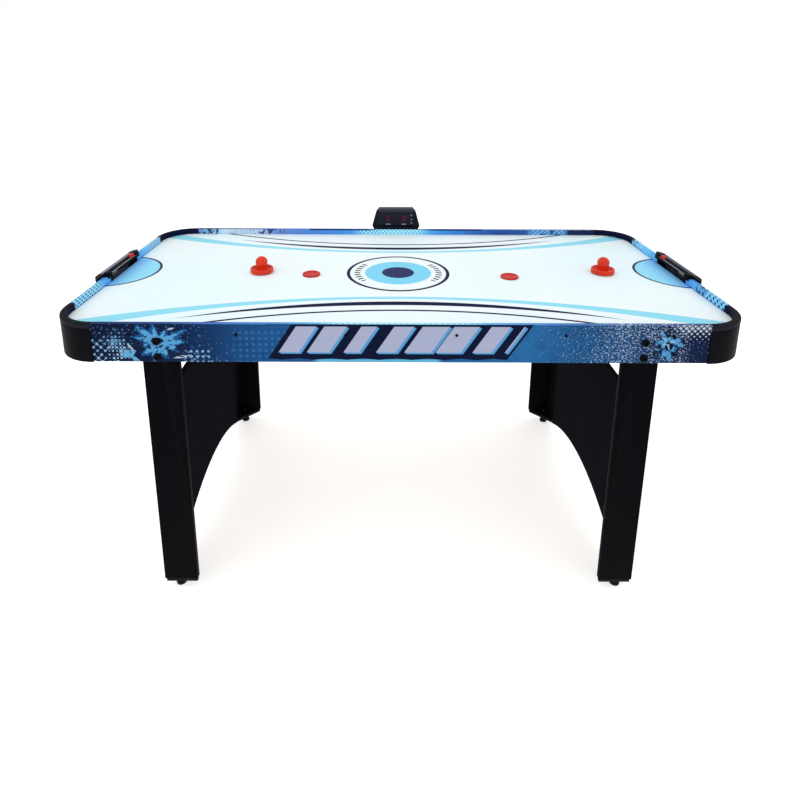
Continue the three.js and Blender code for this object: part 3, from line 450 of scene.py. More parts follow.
def print_inner_face(paint, x, v, face):
    """The inner print, seen across the play surface: pale to the left, dark to the right."""
    ground = paint.ramp_colour(x, -800, 800, [
        (-800, rgb(84, 140, 204)), (-705, rgb(168, 216, 245)), (-690, rgb(214, 234, 248)),
        (-560, rgb(190, 212, 240)), (-480, rgb(112, 146, 212)), (-350, rgb(84, 140, 220)),
        (-220, rgb(74, 152, 232)), (-110, rgb(84, 186, 240)), (0, rgb(112, 212, 246)),
        (80, rgb(100, 200, 244)), (180, rgb(72, 156, 232)), (300, rgb(58, 118, 198)),
        (400, rgb(44, 82, 156)), (525, rgb(48, 92, 166)), (550, rgb(122, 190, 240)),
        (670, rgb(126, 192, 240)), (690, rgb(28, 46, 94)), (800, rgb(24, 36, 78)),
    ])
    paint.over(ground, face)
    blobs = paint.noise(62, 2).above(0.53, 0.03)
    ends = x.below(-702, 4) + x.between(-575, -455, 30) + x.between(575, 655, 12)
    paint.over(rgb(26, 52, 106), face * blobs * ends * 0.9)
    dashes = x.cell(13).below(2.2, 0.8) * x.between(-695, -575, 10) * lattice(x, v, 11).above(3, 1)
    paint.over(rgb(120, 172, 224), face * dashes * 0.8)
    slants = (x - v * 1.4).cell(19).below(3.4, 1) * x.between(540, 680, 6)
    paint.over(rgb(36, 92, 172), face * slants)
    dots = lattice(x, v, 15).below(3.8, 1) * (x + 20).do("ABSOLUTE").below(130, 40)
    paint.over(rgb(206, 246, 253), face * dots)


def bare_underside(paint):
    paint.over(rgb(120, 96, 66), paint.z.below(RAIL_BOTTOM + 0.3 * MM))


def print_surface(name):
    """A printed wrap: satin, with the faint grain of the board under it."""
    paint = Paint(name, NAVY, 0.38).set(Specular_IOR_Level=0.04)
    grain = paint.noise(900, 2)
    paint.rough(grain * 0.14 + 0.32)
    return paint.bump(grain, 0.02 * MM, 0.3)


def long_rail_material(name, side):
    """side is -1 for the front apron, whose outer face looks to -Y, and 1 for the back one."""
    paint = print_surface(name)
    depth = (paint.y - (MIDDLE_Y + side * HALF_WIDTH)) * (-side / MM)  # from the outer face inward
    x = paint.x / MM
    v = (paint.z - RAIL_BOTTOM) / MM
    print_outer_face(paint, x * -side, v + depth.most(0).least(BOARD / MM))
    top = v.above(FACE_H - 0.3, 0.1) * depth.above(0.6, 0.4)
    print_top_strip(paint, x, depth, top, 12 if side > 0 else 3)
    inner = depth.above(BOARD / MM - 0.3, 0.2)
    print_inner_face(paint, x, v, inner)
    if side > 0:
        # a dark line along the top, broken at the pale dots in the middle
        rim = v.above(FACE_H - 4, 1) * depth.above(1, 1) * abs(x).below(345, 6) * abs(x - 20).above(110, 60)
        paint.over(rgb(28, 56, 120), rim)
    bare_underside(paint)
    return paint.material


def end_rail_material(name, side):
    """A brighter print than the aprons'; the right end's is busier at its near end."""
    paint = print_surface(name)
    along = (paint.y - MIDDLE_Y) / MM
    v = (paint.z - RAIL_BOTTOM) / MM
    depth = (paint.x * -side + HALF_LENGTH) / MM
    ground = paint.ramp_colour(along, -320, 320, [
        (-320, rgb(96, 180, 240)), (-200, rgb(92, 180, 244)), (-110, rgb(74, 150, 238)),
        (110, rgb(74, 150, 238)), (190, rgb(104, 196, 248)), (320, rgb(130, 212, 250)),
    ])
    paint.over(ground, v.above(-100, 1))
    outer = depth.below(0.5, 0.4)
    inner = depth.above(BOARD / MM - 0.3, 0.2)
    paint.over(rgb(18, 58, 116), outer * (abs(along).ramp(330, 60) * 0.6 + 0.3))
    paint.over(rgb(108, 190, 246), inner * 0.5)
    inward = v + depth
    near = along.below(-165, 50)
    far = along.above(215, 50)
    dots = lattice(along, inward, 17).below(3.6, 1)
    pale = lattice(along, inward, 17).between(4.6, 6.4, 1)
    if side > 0:
        blotch = paint.noise(75, 2).above(0.5, 0.04)
        paint.over(rgb(20, 50, 112), blotch * along.between(-215, -165, 12))
        paint.over(rgb(120, 206, 248), along.below(-215, 12))
        spots = lattice(along, inward, 21).below(4.2, 1)
        paint.over(rgb(18, 46, 104), spots * along.below(-205, 60))
        paint.over(rgb(18, 46, 104), blotch * along.above(265, 20))
        dashes = along.cell(30).below(9, 1) * inward.cell(14).below(1.8, 0.6)
        paint.over(rgb(214, 244, 254), dashes * along.above(235, 20))
    else:
        paint.over(rgb(112, 208, 248), near * 0.8)
        paint.over(rgb(196, 236, 252), pale * (near + far) * 0.7)
        paint.over(rgb(14, 40, 96), dots * (near + far) * 0.85)
    flecks = paint.specks(110).below(0.16, 0.05)
    paint.over(rgb(214, 238, 252), flecks * abs(along).above(170, 40) * 0.8)
    paint.over(rgb(42, 66, 168), inner * paint.z.below(PLAY_TOP + 1.4 * MM))
    bare_underside(paint)
    return paint.material


# ---------------------------------------------------------------- play surface
# Each arc of the rink: its nearest place to the middle line, and its radius.
BAND_EDGES = ((0.210, 2.300), (0.227, 1.870))
THICK_LINE_EDGES = ((0.2465, 1.560), (0.273, 1.950))
THIN_LINE = (0.3095, 1.635)
THIN_LINE_W = 9.5 * MM
PRINT_Y = -8 * MM  # the print sits a little towards the front
RING_R = (0.157, 0.168)
DISC_R = 0.1085
CORE_R = 0.0525
CREASE_X = 0.931
CREASE_R = 0.147
CREASE_LINE_W = 8 * MM
HOLE_PITCH = 25.4 * MM


def past_arc(x, away, arc):
    """Distance beyond an arc that bows towards the middle; negative on the middle's side."""
    nearest, radius = arc
    return -x.length_with(-away + (nearest + radius)) + radius


def between_arcs(x, away, edges, soft):
    return past_arc(x, away, edges[0]).above(0, soft) * past_arc(x, away, edges[1]).below(0, soft)


def playfield_material():
    paint = Paint("rink_laminate", WHITE, 0.4)
    paint.set(Specular_IOR_Level=0.03)
    x = paint.x
    y = paint.y - (MIDDLE_Y + PRINT_Y)
    away = abs(y)
    top = paint.z.above(PLAY_TOP - 0.2 * MM)
    soft = 1.2 * MM
    tint = paint.noise(3, 1)
    paint.over(rgb(232, 250, 254), tint.ramp(0.4, 0.62) * abs(x).ramp(0.1, 0.7))
    paint.over(rgb(148, 224, 245), between_arcs(x, away, BAND_EDGES, soft))
    paint.over(INK, between_arcs(x, away, THICK_LINE_EDGES, soft))
    paint.over(INK, abs(past_arc(x, away, THIN_LINE)).below(THIN_LINE_W / 2, soft))
    from_middle = x.length_with(y)
    paint.over(INK, from_middle.between(*RING_R, soft))
    paint.over(rgb(130, 214, 244), from_middle.below(DISC_R, soft))
    paint.over(rgb(44, 50, 98), from_middle.below(CORE_R, soft))
    angle = y.do("ARCTAN2", abs(x))
    ticks = (angle + from_middle * 1.2).cell(0.150).below(0.034, 0.01) * abs(angle).below(0.62, 0.01)
    paint.over(INK, ticks * from_middle.between(0.124, 0.143, soft))
    from_goal = (-abs(x) + CREASE_X).length_with(paint.y - MIDDLE_Y)
    inside = from_goal.below(CREASE_R, soft)
    paint.over(rgb(150, 224, 254), inside)
    paint.over(rgb(112, 176, 255), inside * abs(x).ramp(0.835, 0.905) * 0.75)
    paint.over(INK, from_goal.between(CREASE_R - CREASE_LINE_W, CREASE_R, soft))
    hole = x.cell(HOLE_PITCH, HOLE_PITCH / 2).length_with(paint.y.cell(HOLE_PITCH, HOLE_PITCH / 2))
    drilled = hole.below(0.8 * MM, 0.4 * MM)
    # painted shade: each air hole is painted as a grey dot for the dark inside it
    paint.over(rgb(150, 162, 174), drilled * 0.7)
    paint.over(rgb(150, 118, 80), -top + 1)
    return paint.bump(-drilled, 1 * MM, 0.6).material


# ---------------------------------------------------------------- plain materials
def moulded(name, colour, roughness, grain=700, shine=0.06):
    """Moulded plastic: a fine texture, and gloss and tone that drift a little."""
    paint = Paint(name, colour, roughness).set(Specular_IOR_Level=shine)
    drift = paint.noise(14, 2)
    lighter = tuple(min(1.0, part * 1.2 + 0.001) for part in colour[:3]) + (1,)
    paint.over(lighter, drift.ramp(0.35, 0.75) * 0.6)
    fine = paint.noise(grain, 2)
    paint.rough(fine * 0.12 + (roughness - 0.06))
    return paint.bump(fine, 0.05 * MM, 0.5)


def cover_plastic():
    """Black moulding of the corners, with a painted highlight along its upper rim and a navy painted
    reflection of the play surface on its inner wall.
    """
    paint = moulded("cover_plastic", rgb(14, 14, 18), 0.4, shine=0.012)
    # painted highlight: a lighter band along the rounded top rim, where it catches the light
    rim = paint.z.between(RAIL_TOP - 14 * MM, RAIL_TOP - 0.5 * MM, 3 * MM)
    paint.over(rgb(38, 38, 46), rim * 0.7)
    corner_x = HALF_LENGTH - CORNER_R
    corner_y = HALF_WIDTH - CORNER_R
    from_corner = (abs(paint.x) - corner_x).most(0).length_with((abs(paint.y - MIDDLE_Y) - corner_y).most(0))
    # painted reflection: the inner wall above the play surface is painted navy, for the play surface seen in
    # the black plastic
    inner_wall_reflection = from_corner.below(CORNER_R - BOARD + 0.6 * MM, 0.4 * MM) * paint.z.above(PLAY_TOP, 0.5 * MM)
    paint.over(rgb(19, 22, 50), inner_wall_reflection)
    return paint.material


def black_vinyl(name="black_vinyl", colour=rgb(9, 7, 11), lighter=rgb(13, 11, 15), shine=0.015):
    """Black wrapped board: a faint upright grain and slightly worn sheen."""
    paint = Paint(name, colour, 0.5).set(Specular_IOR_Level=shine)
    grain = paint.noise(60, 4, stretch=(9, 9, 0.6))
    paint.over(lighter, grain.ramp(0.45, 0.75) * 0.8)
    paint.rough(grain * 0.2 + 0.4)
    return paint.bump(grain, 0.08 * MM, 0.35).material


def bare_board():
    paint = Paint("bare_fibreboard", rgb(165, 136, 96), 0.85)
    fibre = paint.noise(420, 5, roughness=0.7)
    paint.over(rgb(120, 92, 60), fibre.ramp(0.45, 0.7) * 0.6)
    paint.over(rgb(190, 164, 124), paint.noise(40, 2).ramp(0.5, 0.8) * 0.4)
    return paint.bump(fibre, 0.15 * MM, 0.6).material


def black_steel():
    paint = Paint("black_steel", rgb(11, 11, 13), 0.36).set(Specular_IOR_Level=0.03)
    orange_peel = paint.noise(500, 2)
    paint.over(rgb(17, 17, 20), paint.noise(120, 3).ramp(0.5, 0.8) * 0.5)
    return paint.bump(orange_peel, 0.04 * MM, 0.5).material


def motor_steel():
    paint = Paint("motor_steel", rgb(176, 180, 186), 0.32, metallic=1.0)
    brushed = paint.noise(260, 3, stretch=(1, 1, 12))
    paint.over(rgb(140, 144, 150), brushed.ramp(0.4, 0.7) * 0.5)
    paint.rough(brushed * 0.2 + 0.22)
    return paint.bump(brushed, 0.03 * MM, 0.4).material


def felt():
    paint = Paint("pressed_felt", rgb(46, 46, 50), 1.0).set(Sheen_Weight=0.5)
    fibre = paint.noise(1600, 4, roughness=0.75)
    paint.over(rgb(72, 72, 78), fibre.ramp(0.45, 0.7) * 0.7)
    return paint.bump(fibre, 0.3 * MM, 0.8).material


def rubber():
    paint = Paint("foot_rubber", rgb(20, 20, 21), 0.85).set(Specular_IOR_Level=0.2)
    dust = paint.noise(90, 3)
    paint.over(rgb(44, 43, 42), dust.ramp(0.55, 0.8) * 0.6)
    return paint.bump(paint.noise(800, 2), 0.06 * MM, 0.6).material


SCORE_TICK_PITCH = 15 * MM
SCORE_TICKS_HALF = 78 * MM  # how far the row of ticks reaches from the middle


def score_strip_material():
    """Silver strip broken by plain dark ticks, one every tick step near its middle and one every fifth step
    along its whole length.
    """
    paint = Paint("score_strip", rgb(176, 182, 194), 0.3, metallic=0.2).set(Specular_IOR_Level=0.4)
    along = paint.y - MIDDLE_Y
    tick = along.cell(SCORE_TICK_PITCH).below(3.6 * MM, 0.3 * MM) * abs(along).below(SCORE_TICKS_HALF)
    paint.over(rgb(30, 32, 44), tick)
    paint.over(rgb(30, 32, 44), along.cell(5 * SCORE_TICK_PITCH).below(3.4 * MM, 0.3 * MM))
    return paint.bump(paint.noise(500, 2), 0.02 * MM, 0.4).material


def pocket_plastic(side):
    """Grey moulding of a goal pocket, with black ends and a black floor; its grey is painted lighter on the
    left pocket and darker on the right, as painted light and shade.
    """
    # painted light and shade: the same moulding is painted a lighter grey on the left and a darker grey on
    # the right
    grey = rgb(126, 130, 146) if side < 0 else rgb(80, 84, 106)
    paint = moulded(f"pocket_plastic_{'left' if side < 0 else 'right'}", grey, 0.5)
    along = abs(paint.y - MIDDLE_Y)
    paint.over(rgb(20, 20, 25), along.above(104 * MM, 3 * MM))
    paint.over(rgb(12, 12, 16), (abs(paint.x) - HALF_LENGTH).below(6 * MM, 1 * MM))
    return paint.material


def bezel_plastic():
    """Black moulding of a goal's frame, with a small grey-olive tab near its front end."""
    paint = moulded("bezel_plastic", rgb(11, 11, 16), 0.42, shine=0.02)
    along = paint.y - MIDDLE_Y
    inner_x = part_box("right_goal_bezel")[0].x
    inner_face = abs(paint.x).below(inner_x + 0.4 * MM, 0.2 * MM)
    tab = along.between(-90 * MM, -55 * MM, 1 * MM) * paint.z.above(RAIL_TOP - 2 * MM, 0.5 * MM)
    paint.over(rgb(96, 98, 90), inner_face * tab)
    return paint.material


# ---------------------------------------------------------------- scoreboard
DIGIT_X = 0.032
DIGIT_Z = 0.8807
LABEL_Z = 0.8575
WINDOW_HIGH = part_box("scoreboard_window")[1]
HOUSING_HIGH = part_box("scoreboard_housing")[1]


def glow_digit(x, z, middle_x):
    """1 on the bars of a digit block that shows a nought, drawn as a rounded frame."""
    up = z - DIGIT_Z
    du = abs(x - middle_x - up * 0.08)
    dv = abs(up)
    outside = (du - 6.4 * MM).most(dv - 10.5 * MM)
    frame_bar = outside.between(-3 * MM, 0, 2 * MM)
    return frame_bar * (du + dv).below(15 * MM, 2 * MM)


def box_mark(x, z, middle, half, soft):
    """1 in a flat box on the scoreboard's face."""
    return (abs(x - middle[0]) - half[0]).most(abs(z - middle[1]) - half[1]).below(0, soft)


def window_material():
    """Smoked window with two dim digits, and plain ticks in place of the labels."""
    paint = Paint("smoked_window", rgb(14, 19, 32), 0.2).set(Specular_IOR_Level=0.16)
    haze = paint.noise(18, 2)
    paint.over(rgb(22, 27, 40), haze.ramp(0.4, 0.7) * 0.7)
    x, z = paint.x, paint.z
    for sign in (-1, 1):
        block = box_mark(x, z, (sign * DIGIT_X, DIGIT_Z), (8.5 * MM, 11.5 * MM), 5 * MM)
        paint.over(rgb(62, 8, 28), block * 0.85)
        paint.over(rgb(92, 8, 30), glow_digit(x, z, sign * DIGIT_X) * 0.7)
        label = box_mark(x, z, (sign * DIGIT_X, LABEL_Z), (9 * MM, 2.2 * MM), 0.8 * MM)
        paint.over(rgb(160, 176, 192), label * x.cell(4.4 * MM).above(0.8 * MM, 0.6 * MM))
    middle = box_mark(x, z, (0, DIGIT_Z + 3 * MM), (5 * MM, 7 * MM), 7 * MM)
    paint.over(rgb(52, 10, 36), middle * 0.6)
    paint.over(rgb(150, 156, 170), box_mark(x, z, (0.062, 0.8625), (4.5 * MM, 1.2 * MM), 0.6 * MM))
    paint.set(Emission_Color=rgb(200, 16, 40))
    glow = glow_digit(x, z, -DIGIT_X) + glow_digit(x, z, DIGIT_X)
    paint.tree.links.new((glow * 0.012).socket, paint.shader.inputs["Emission Strength"])
    return paint.bump(paint.noise(300, 2), 0.01 * MM, 0.2).material


def housing_material():
    """Black scoreboard case with painted highlights: a lighter band along its top and a lighter band over the
    window.
    """
    paint = moulded("scoreboard_case", rgb(15, 15, 20), 0.45, shine=0.15)
    # painted highlight along the top of the case
    paint.over(rgb(62, 68, 80), paint.z.above(HOUSING_HIGH.z - 6 * MM, 1.5 * MM))
    # painted highlight: a lighter band just over the window
    rim = paint.z.between(WINDOW_HIGH.z + 1.5 * MM, WINDOW_HIGH.z + 4.5 * MM, 1 * MM)
    paint.over(rgb(54, 58, 72), rim * abs(paint.x).below(WINDOW_HIGH.x - 8 * MM, 3 * MM))
    return paint.material


def circuit_board():
    paint = Paint("circuit_board", rgb(24, 74, 48), 0.45)
    trace = paint.x.cell(5 * MM).below(0.5 * MM, 0.2 * MM) * paint.noise(60, 1).above(0.5, 0.02)
    paint.over(rgb(60, 120, 84), trace)
    paint.over(rgb(60, 12, 16), paint.y.below(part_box("scoreboard_board")[0].y + 3 * MM, 0.3 * MM))
    return paint.bump(trace, 0.05 * MM, 0.5).material


# ---------------------------------------------------------------- meshes
ROUNDED_ANGLE = 35  # CAD edges sharper than this many degrees are rounded


def new_piece(name, mesh, material, body, sharp=40):
    """Makes an object of a mesh, smooth but for its sharp edges, riding on a body."""
    mesh.shade_smooth()
    mesh.set_sharp_from_angle(angle=math.radians(sharp))
    mesh.materials.append(material)
    piece = bpy.data.objects.new(name, mesh)
    bpy.context.scene.collection.objects.link(piece)
    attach(piece, body)
    return piece


def mesh_from(name, points, faces):
    """A mesh of points and faces, its doubled points merged and its faces turned outward."""
    mesh = bpy.data.meshes.new(name)
    mesh.from_pydata([Vector(point) for point in points], [], faces)
    build = bmesh.new()
    build.from_mesh(mesh)
    bmesh.ops.remove_doubles(build, verts=build.verts, dist=1e-6)
    bmesh.ops.recalc_face_normals(build, faces=build.faces)
    build.to_mesh(mesh)
    build.free()
    return mesh


def lathe(profile, segments, centre, axis="z"):
    """Points and faces of a solid turned about an axis from (radius, height) pairs."""
    points = []
    for radius, height in profile:
        for step in range(segments):
            angle = 2 * math.pi * step / segments
            across = (radius * math.cos(angle), radius * math.sin(angle))
            if axis == "z":
                points.append((across[0], across[1], height))
            else:
                points.append((across[0], height, across[1]))
    faces = []
    for row in range(len(profile) - 1):
        for step in range(segments):
            following = (step + 1) % segments
            a, b = row * segments + step, row * segments + following
            faces.append((a, b, b + segments, a + segments))
    return [tuple(Vector(p) + Vector(centre)) for p in points], faces


def arc_points(centre, radius, start, stop, steps):
    """(out, up) points on an arc of a profile, angles in degrees from level."""
    angles = [math.radians(start + (stop - start) * i / steps) for i in range(steps + 1)]
    return [(max(0.0, centre[0] + radius * math.cos(a)), centre[1] + radius * math.sin(a)) for a in angles]


def joined(parts):
    """Puts several (points, faces) pairs into one."""
    points, faces = [], []
    for more_points, more_faces in parts:
        start = len(points)
        points += more_points
        faces += [tuple(start + i for i in face) for face in more_faces]
    return points, faces


def brick(low, high):
    x0, y0, z0 = low
    x1, y1, z1 = high
    points = [(x, y, z) for x in (x0, x1) for y in (y0, y1) for z in (z0, z1)]
    faces = [(0, 1, 3, 2), (4, 6, 7, 5), (0, 4, 5, 1), (2, 3, 7, 6), (0, 2, 6, 4), (1, 5, 7, 3)]
    return points, faces


def dress(name, material, width):
    """Gives a CAD node its material, and rounds its edges as it is shown."""
    node = nodes[name]
    node.data.materials.clear()
    node.data.materials.append(material)
    weld = node.modifiers.new("weld", "WELD")
    weld.merge_threshold = 1e-5
    bevel = node.modifiers.new("rounded_edges", "BEVEL")
    bevel.width = width
    bevel.segments = 2
    bevel.limit_method = "ANGLE"
    bevel.angle_limit = math.radians(ROUNDED_ANGLE)
    bevel.harden_normals = True
    node.data.shade_smooth()


# ---------------------------------------------------------------- corner covers
COVER_RIM_R = 5 * MM
COVER_LIP_R = 1.5 * MM
COVER_GROOVE_DOWN = 12 * MM
COVER_GROOVE_DEEP = 1.6 * MM
COVER_FACE_IN = 0.4 * MM  # how far the face below the groove stands back from the rim
COVER_STEPS = 28


def cover_profile():
    """(out, up) points round the cover's cross-section; out is measured from its inner face."""
    outer = BOARD + COVER_PROUD
    top = RAIL_TOP
    low = RAIL_BOTTOM - COVER_HANG
    inner = arc_points((COVER_LIP_R, top - COVER_LIP_R), COVER_LIP_R, 180, 90, 3)
    rim = arc_points((outer - COVER_RIM_R, top - COVER_RIM_R), COVER_RIM_R, 90, 0, 5)
    groove_top = top - COVER_GROOVE_DOWN
    groove_in = outer - COVER_GROOVE_DEEP
    face = outer - COVER_FACE_IN
    groove = [(outer, groove_top), (groove_in, groove_top - 1 * MM)]
    groove += [(groove_in, groove_top - 3 * MM), (face, groove_top - 4 * MM)]
    foot = [(face, low + 1.5 * MM), (face - 1.5 * MM, low), (0.8 * MM, low), (0, low + 0.8 * MM)]
    return inner + rim + groove + foot


def cover_stations():
    """(place on the inner face, outward direction) pairs in the +X +Y quarter of the table."""
    cx, cy = HALF_LENGTH - CORNER_R, HALF_WIDTH - CORNER_R
    inner_r = CORNER_R - BOARD
    ends_x = BACK_HIGH.x + GAP
    ends_y = RIGHT_HIGH.y - MIDDLE_Y + GAP
    stations = [((ends_x, cy + inner_r), (0, 1))]
    for step in range(COVER_STEPS + 1):
        angle = math.pi / 2 * (1 - step / COVER_STEPS)
        way = (math.cos(angle), math.sin(angle))
        stations.append(((cx + inner_r * way[0], cy + inner_r * way[1]), way))
    stations.append(((cx + inner_r, ends_y), (1, 0)))
    return stations


def corner_cover(name, signs, material):
    """A corner's moulding: one cross-section swept round the corner, closed at both ends."""
    profile = cover_profile()
    stations = cover_stations()
    points = []
    for (px, py), (nx, ny) in stations:
        for out, up in profile:
            points.append((signs[0] * (px + nx * out), signs[1] * (py + ny * out) + MIDDLE_Y, up))
    count = len(profile)
    faces = []
    for row in range(len(stations) - 1):
        for step in range(count):
            following = (step + 1) % count
            a, b = row * count + step, row * count + following
            faces.append((a, b, b + count, a + count))
    faces.append(tuple(range(count)))
    faces.append(tuple(range((len(stations) - 1) * count, len(stations) * count)))
    mesh = mesh_from(name, points, faces)
    piece = new_piece(name, mesh, material, "table", sharp=28)
    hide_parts(name.removesuffix("_shell"))


# ---------------------------------------------------------------- screws and bolts
def screw_head(centre, outward, radius, height):
    """A domed head with a sunk socket, turned round rather than six-sided, its seat at the centre, facing
    along Y.
    """
    dome = [(0, 0), (radius, 0), (radius, height * 0.35), (radius * 0.86, height * 0.75),
            (radius * 0.62, height), (radius * 0.44, height)]
    socket = [(radius * 0.40, height), (radius * 0.38, height * 0.4), (0, height * 0.35)]
    head = lathe([(r, outward * h) for r, h in dome + socket], 24, centre, "y")
    return head


def apron_screws(material):
    """The small screw heads along both aprons."""
    for side, label in ((-1, "front"), (1, "back")):
        parts = []
        for x in SCREW_X:
            for sign in (-1, 1):
                seat = (sign * x, MIDDLE_Y + side * HALF_WIDTH, SCREW_Z)
                parts.append(screw_head(seat, side, SCREW_R, 1.6 * MM))
        mesh = mesh_from(f"{label}_apron_screws", *joined(parts))
        new_piece(f"{label}_apron_screws", mesh, material, "table")


def leg_bolts(name, signs, material):
    """A leg's two bolts, from their heads on the apron to the tapped plate inside the leg."""
    low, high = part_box(name)
    inner_y = high.y if signs[1] < 0 else low.y
    y0, y1 = sorted((inner_y, inner_y + signs[1] * 3 * MM))
    parts = [brick((low.x, y0, low.z), (high.x, y1, high.z))]
    seat_y = MIDDLE_Y + signs[1] * (HALF_WIDTH + GAP)
    for z in BOLT_Z:
        parts.append(screw_head((signs[0] * BOLT_X, seat_y, z), signs[1], BOLT_HEAD_R, BOLT_HEAD_H))
        shank = [(0, 0), (4 * MM, 0), (4 * MM, seat_y - inner_y), (0, seat_y - inner_y)]
        parts.append(lathe(shank, 20, (signs[0] * BOLT_X, inner_y, z), "y"))
    mesh = mesh_from(f"{name}_fine", *joined(parts))
    piece = new_piece(f"{name}_fine", mesh, material, "table")
    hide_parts(name)


# ---------------------------------------------------------------- loose pieces
KNOB_R = 19.5 * MM
KNOB_DOME_H = KNOB_R * 0.95
TURNED_SIDES = 96


def fine_pusher(name, material, body):
    """A pusher turned from one profile: a rim with a groove, a dished floor, a waisted round knob."""
    low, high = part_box(name)
    centre = ((low.x + high.x) / 2, (low.y + high.y) / 2, low.z)
    rim = (high.x - low.x) / 2
    height = high.z - low.z
    profile = [(0, 0), (rim - 2 * MM, 0)]
    profile += arc_points((rim - 1.5 * MM, 1.5 * MM), 1.5 * MM, -70, 0, 4)
    profile += [(rim, 6.4 * MM), (rim - 0.7 * MM, 7 * MM), (rim - 0.7 * MM, 7.8 * MM), (rim, 8.4 * MM)]
    profile += arc_points((rim - 3.2 * MM, 11.2 * MM), 3.2 * MM, 0, 160, 10)
    profile += [(rim - 8.5 * MM, 7.6 * MM), (rim - 11 * MM, 6.6 * MM), (KNOB_R + 1 * MM, 6.6 * MM)]
    profile += [(KNOB_R - 1.8 * MM, 7.6 * MM), (KNOB_R - 3 * MM, 10 * MM), (KNOB_R - 3.4 * MM, 15 * MM)]
    profile += [(KNOB_R - 2.6 * MM, 21 * MM), (KNOB_R - 0.8 * MM, 27 * MM)]
    dome_z = height - KNOB_DOME_H
    profile += [(KNOB_R * math.cos(a), dome_z + KNOB_DOME_H * math.sin(a))
                for a in [i * math.pi / 28 for i in range(14)]]
    profile.append((0, height))
    mesh = mesh_from(f"{name}_fine", *lathe(profile, TURNED_SIDES, centre))
    piece = new_piece(f"{name}_fine", mesh, material, body)
    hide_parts(name)


def fine_puck(name, material, body):
    """A puck turned from one profile: rounded edges and a shallow sunk face on both sides."""
    low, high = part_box(name)
    centre = ((low.x + high.x) / 2, (low.y + high.y) / 2, low.z)
    radius = (high.x - low.x) / 2
    thick = high.z - low.z
    half = [(0, 0.7), (radius / MM - 6, 0.7), (radius / MM - 5, 0), (radius / MM - 1.2, 0),
            (radius / MM - 0.3, 0.5), (radius / MM, 1.4)]
    profile = [(r * MM, h * MM) for r, h in half]
    profile += [(r, thick - h) for r, h in reversed(profile)]
    mesh = mesh_from(f"{name}_fine", *lathe(profile, TURNED_SIDES, centre))
    piece = new_piece(f"{name}_fine", mesh, material, body)
    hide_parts(name)


# ---------------------------------------------------------------- putting it together
def dress_table():
    black = moulded("black_moulding", rgb(18, 18, 22), 0.42).material
    grey = moulded("grey_moulding", rgb(78, 78, 86), 0.5).material
    cover = cover_plastic()
    vinyl = black_vinyl()
    panel_vinyl = black_vinyl("panel_vinyl", rgb(23, 22, 28), rgb(28, 27, 33), 0.0)
    bezel = bezel_plastic()
    board = bare_board()
    steel = black_steel()
    foot = rubber()
    red = moulded("slider_red", rgb(206, 40, 40), 0.35).material
    pusher_red = moulded("pusher_red", rgb(214, 50, 22), 0.3, 500, shine=0.25).material
    puck_red = moulded("puck_red", rgb(196, 42, 40), 0.4, 500, shine=0.08).material
    window = window_material()
    dress("playfield", playfield_material(), 0.4 * MM)
    dress("front_apron", long_rail_material("front_print", -1), 1 * MM)
    dress("back_apron", long_rail_material("back_print", 1), 1 * MM)
    for end, side in ENDS.items():
        dress(f"{end}_end_rail", end_rail_material(f"{end}_print", side), 1 * MM)
        dress(f"{end}_end_panel", panel_vinyl, 0.8 * MM)
        dress(f"{end}_goal_pocket", pocket_plastic(side), 0.8 * MM)
        dress(f"{end}_goal_bezel", bezel, 0.4 * MM)
        dress(f"{end}_score_strip", score_strip_material(), 0.2 * MM)
        dress(f"{end}_score_slider", red, 0.6 * MM)
        dress(f"{end}_batten", board, 0.8 * MM)
        dress(f"{end}_pusher_felt", felt(), 0.3 * MM)
        fine_pusher(f"{end}_pusher", pusher_red, f"{end}_mallet")
        fine_puck(f"{end}_puck", puck_red, f"{end}_disc")
    for side in ("front", "back"):
        dress(f"{side}_batten", board, 0.8 * MM)
    dress("chamber_floor", board, 0.3 * MM)
    for corner, signs in QUARTERS.items():
        dress(f"{corner}_leg", vinyl, 0.8 * MM)
        dress(f"{corner}_base_plate", black, 0.6 * MM)
        dress(f"{corner}_leveler", foot, 0.5 * MM)
        corner_cover(f"{corner}_corner_cover_shell", signs, cover)
        leg_bolts(f"{corner}_leg_bolts", signs, steel)
    apron_screws(steel)
    for name in ("blower_housing", "blower_grille", "switch_frame", "switch_rocker", "power_inlet"):
        dress(name, black, 0.3 * MM)
    dress("scoreboard_housing", housing_material(), 0.8 * MM)
    dress("blower_motor", motor_steel(), 0.4 * MM)
    dress("blower_impeller", grey, 0.2 * MM)
    dress("scoreboard_window", window, 0.2 * MM)
    dress("scoreboard_board", circuit_board(), 0.1 * MM)
    dress("scoreboard_bracket", steel, 0.4 * MM)
    for key in ("mode_button", "reset_button"):
        dress(key, moulded(key, rgb(138, 142, 154), 0.4).material, 0.2 * MM)


# ---------------------------------------------------------------- studio
FLOOR_HALF = 14
FLOOR_GLOW = 0.55
KEY_AT = (-1.2, -1.6, 3.2)
KEY_TOWARDS = (0, 0, 0.8)
KEY_SIZE = (2.4, 1.6)
KEY_WATTS = 5


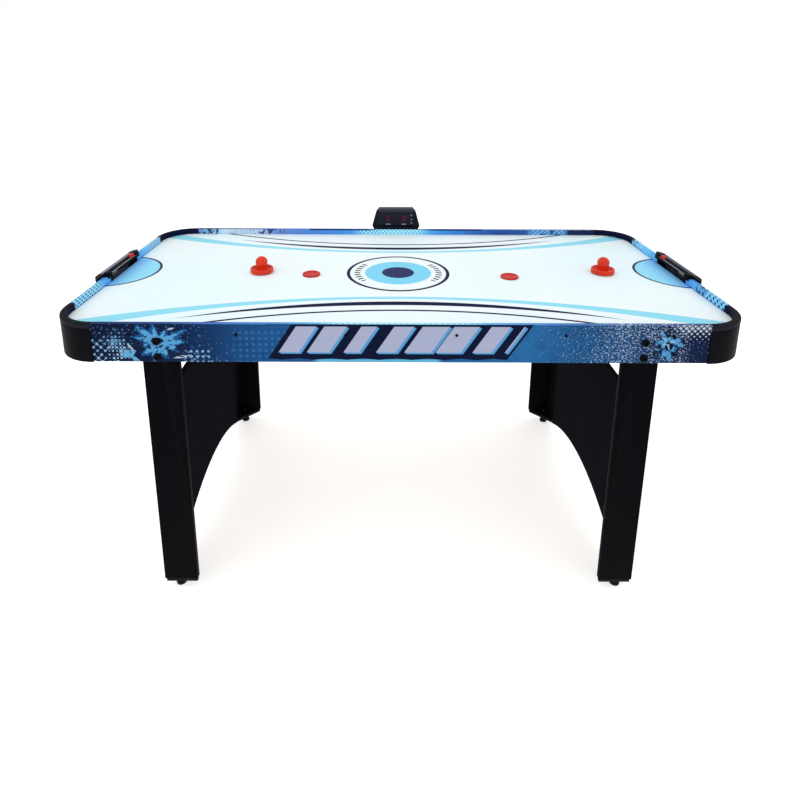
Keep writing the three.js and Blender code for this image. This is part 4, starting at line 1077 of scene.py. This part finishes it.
def make_floor():
    half = FLOOR_HALF
    points = [(-half, -half, 0), (half, -half, 0), (half, half, 0), (-half, half, 0)]
    mesh = mesh_from("floor", points, [(0, 1, 2, 3)])
    paint = Paint("studio_floor", rgb(238, 238, 238), 0.9)
    paint.set(Emission_Color=(1, 1, 1, 1), Emission_Strength=FLOOR_GLOW)
    paint.over(rgb(243, 243, 243), paint.noise(3, 2).ramp(0.4, 0.6) * 0.5)
    mesh.materials.append(paint.material)
    floor = bpy.data.objects.new("floor", mesh)
    bpy.context.scene.collection.objects.link(floor)


def make_key_light():
    data = bpy.data.lights.new("key", "AREA")
    data.shape = "RECTANGLE"
    data.size, data.size_y = KEY_SIZE
    data.energy = KEY_WATTS
    light = bpy.data.objects.new("key", data)
    light.location = KEY_AT
    light.rotation_euler = (Vector(KEY_TOWARDS) - Vector(KEY_AT)).to_track_quat("-Z", "Y").to_euler()
    bpy.context.scene.collection.objects.link(light)


def make_studio():
    world = bpy.data.worlds.new("studio")
    world.use_nodes = True
    world.node_tree.nodes["Background"].inputs["Color"].default_value = (1, 1, 1, 1)
    world.node_tree.nodes["Background"].inputs["Strength"].default_value = 1.0
    bpy.context.scene.world = world
    bpy.context.scene.view_settings.view_transform = "Standard"
    make_floor()
    make_key_light()


def make_camera():
    data = bpy.data.cameras.new("camera")
    camera = bpy.data.objects.new("camera", data)
    bpy.context.scene.collection.objects.link(camera)
    ahead = Vector((math.sin(CAMERA_YAW), math.cos(CAMERA_YAW), 0))
    right = Vector((math.cos(CAMERA_YAW), -math.sin(CAMERA_YAW), 0))
    look = ahead * math.cos(CAMERA_PITCH) - Vector((0, 0, math.sin(CAMERA_PITCH)))
    up = right.cross(look)
    across = right * math.cos(CAMERA_ROLL) + up * math.sin(CAMERA_ROLL)
    upward = up * math.cos(CAMERA_ROLL) - right * math.sin(CAMERA_ROLL)
    turn = Matrix((across, upward, -look)).transposed()
    camera.matrix_world = Matrix.Translation(CAMERA_AT) @ turn.to_4x4()
    data.sensor_width = 36
    data.lens = LENS
    data.shift_x, data.shift_y = SHIFT
    bpy.context.scene.camera = camera


dress_table()
make_studio()
make_camera()
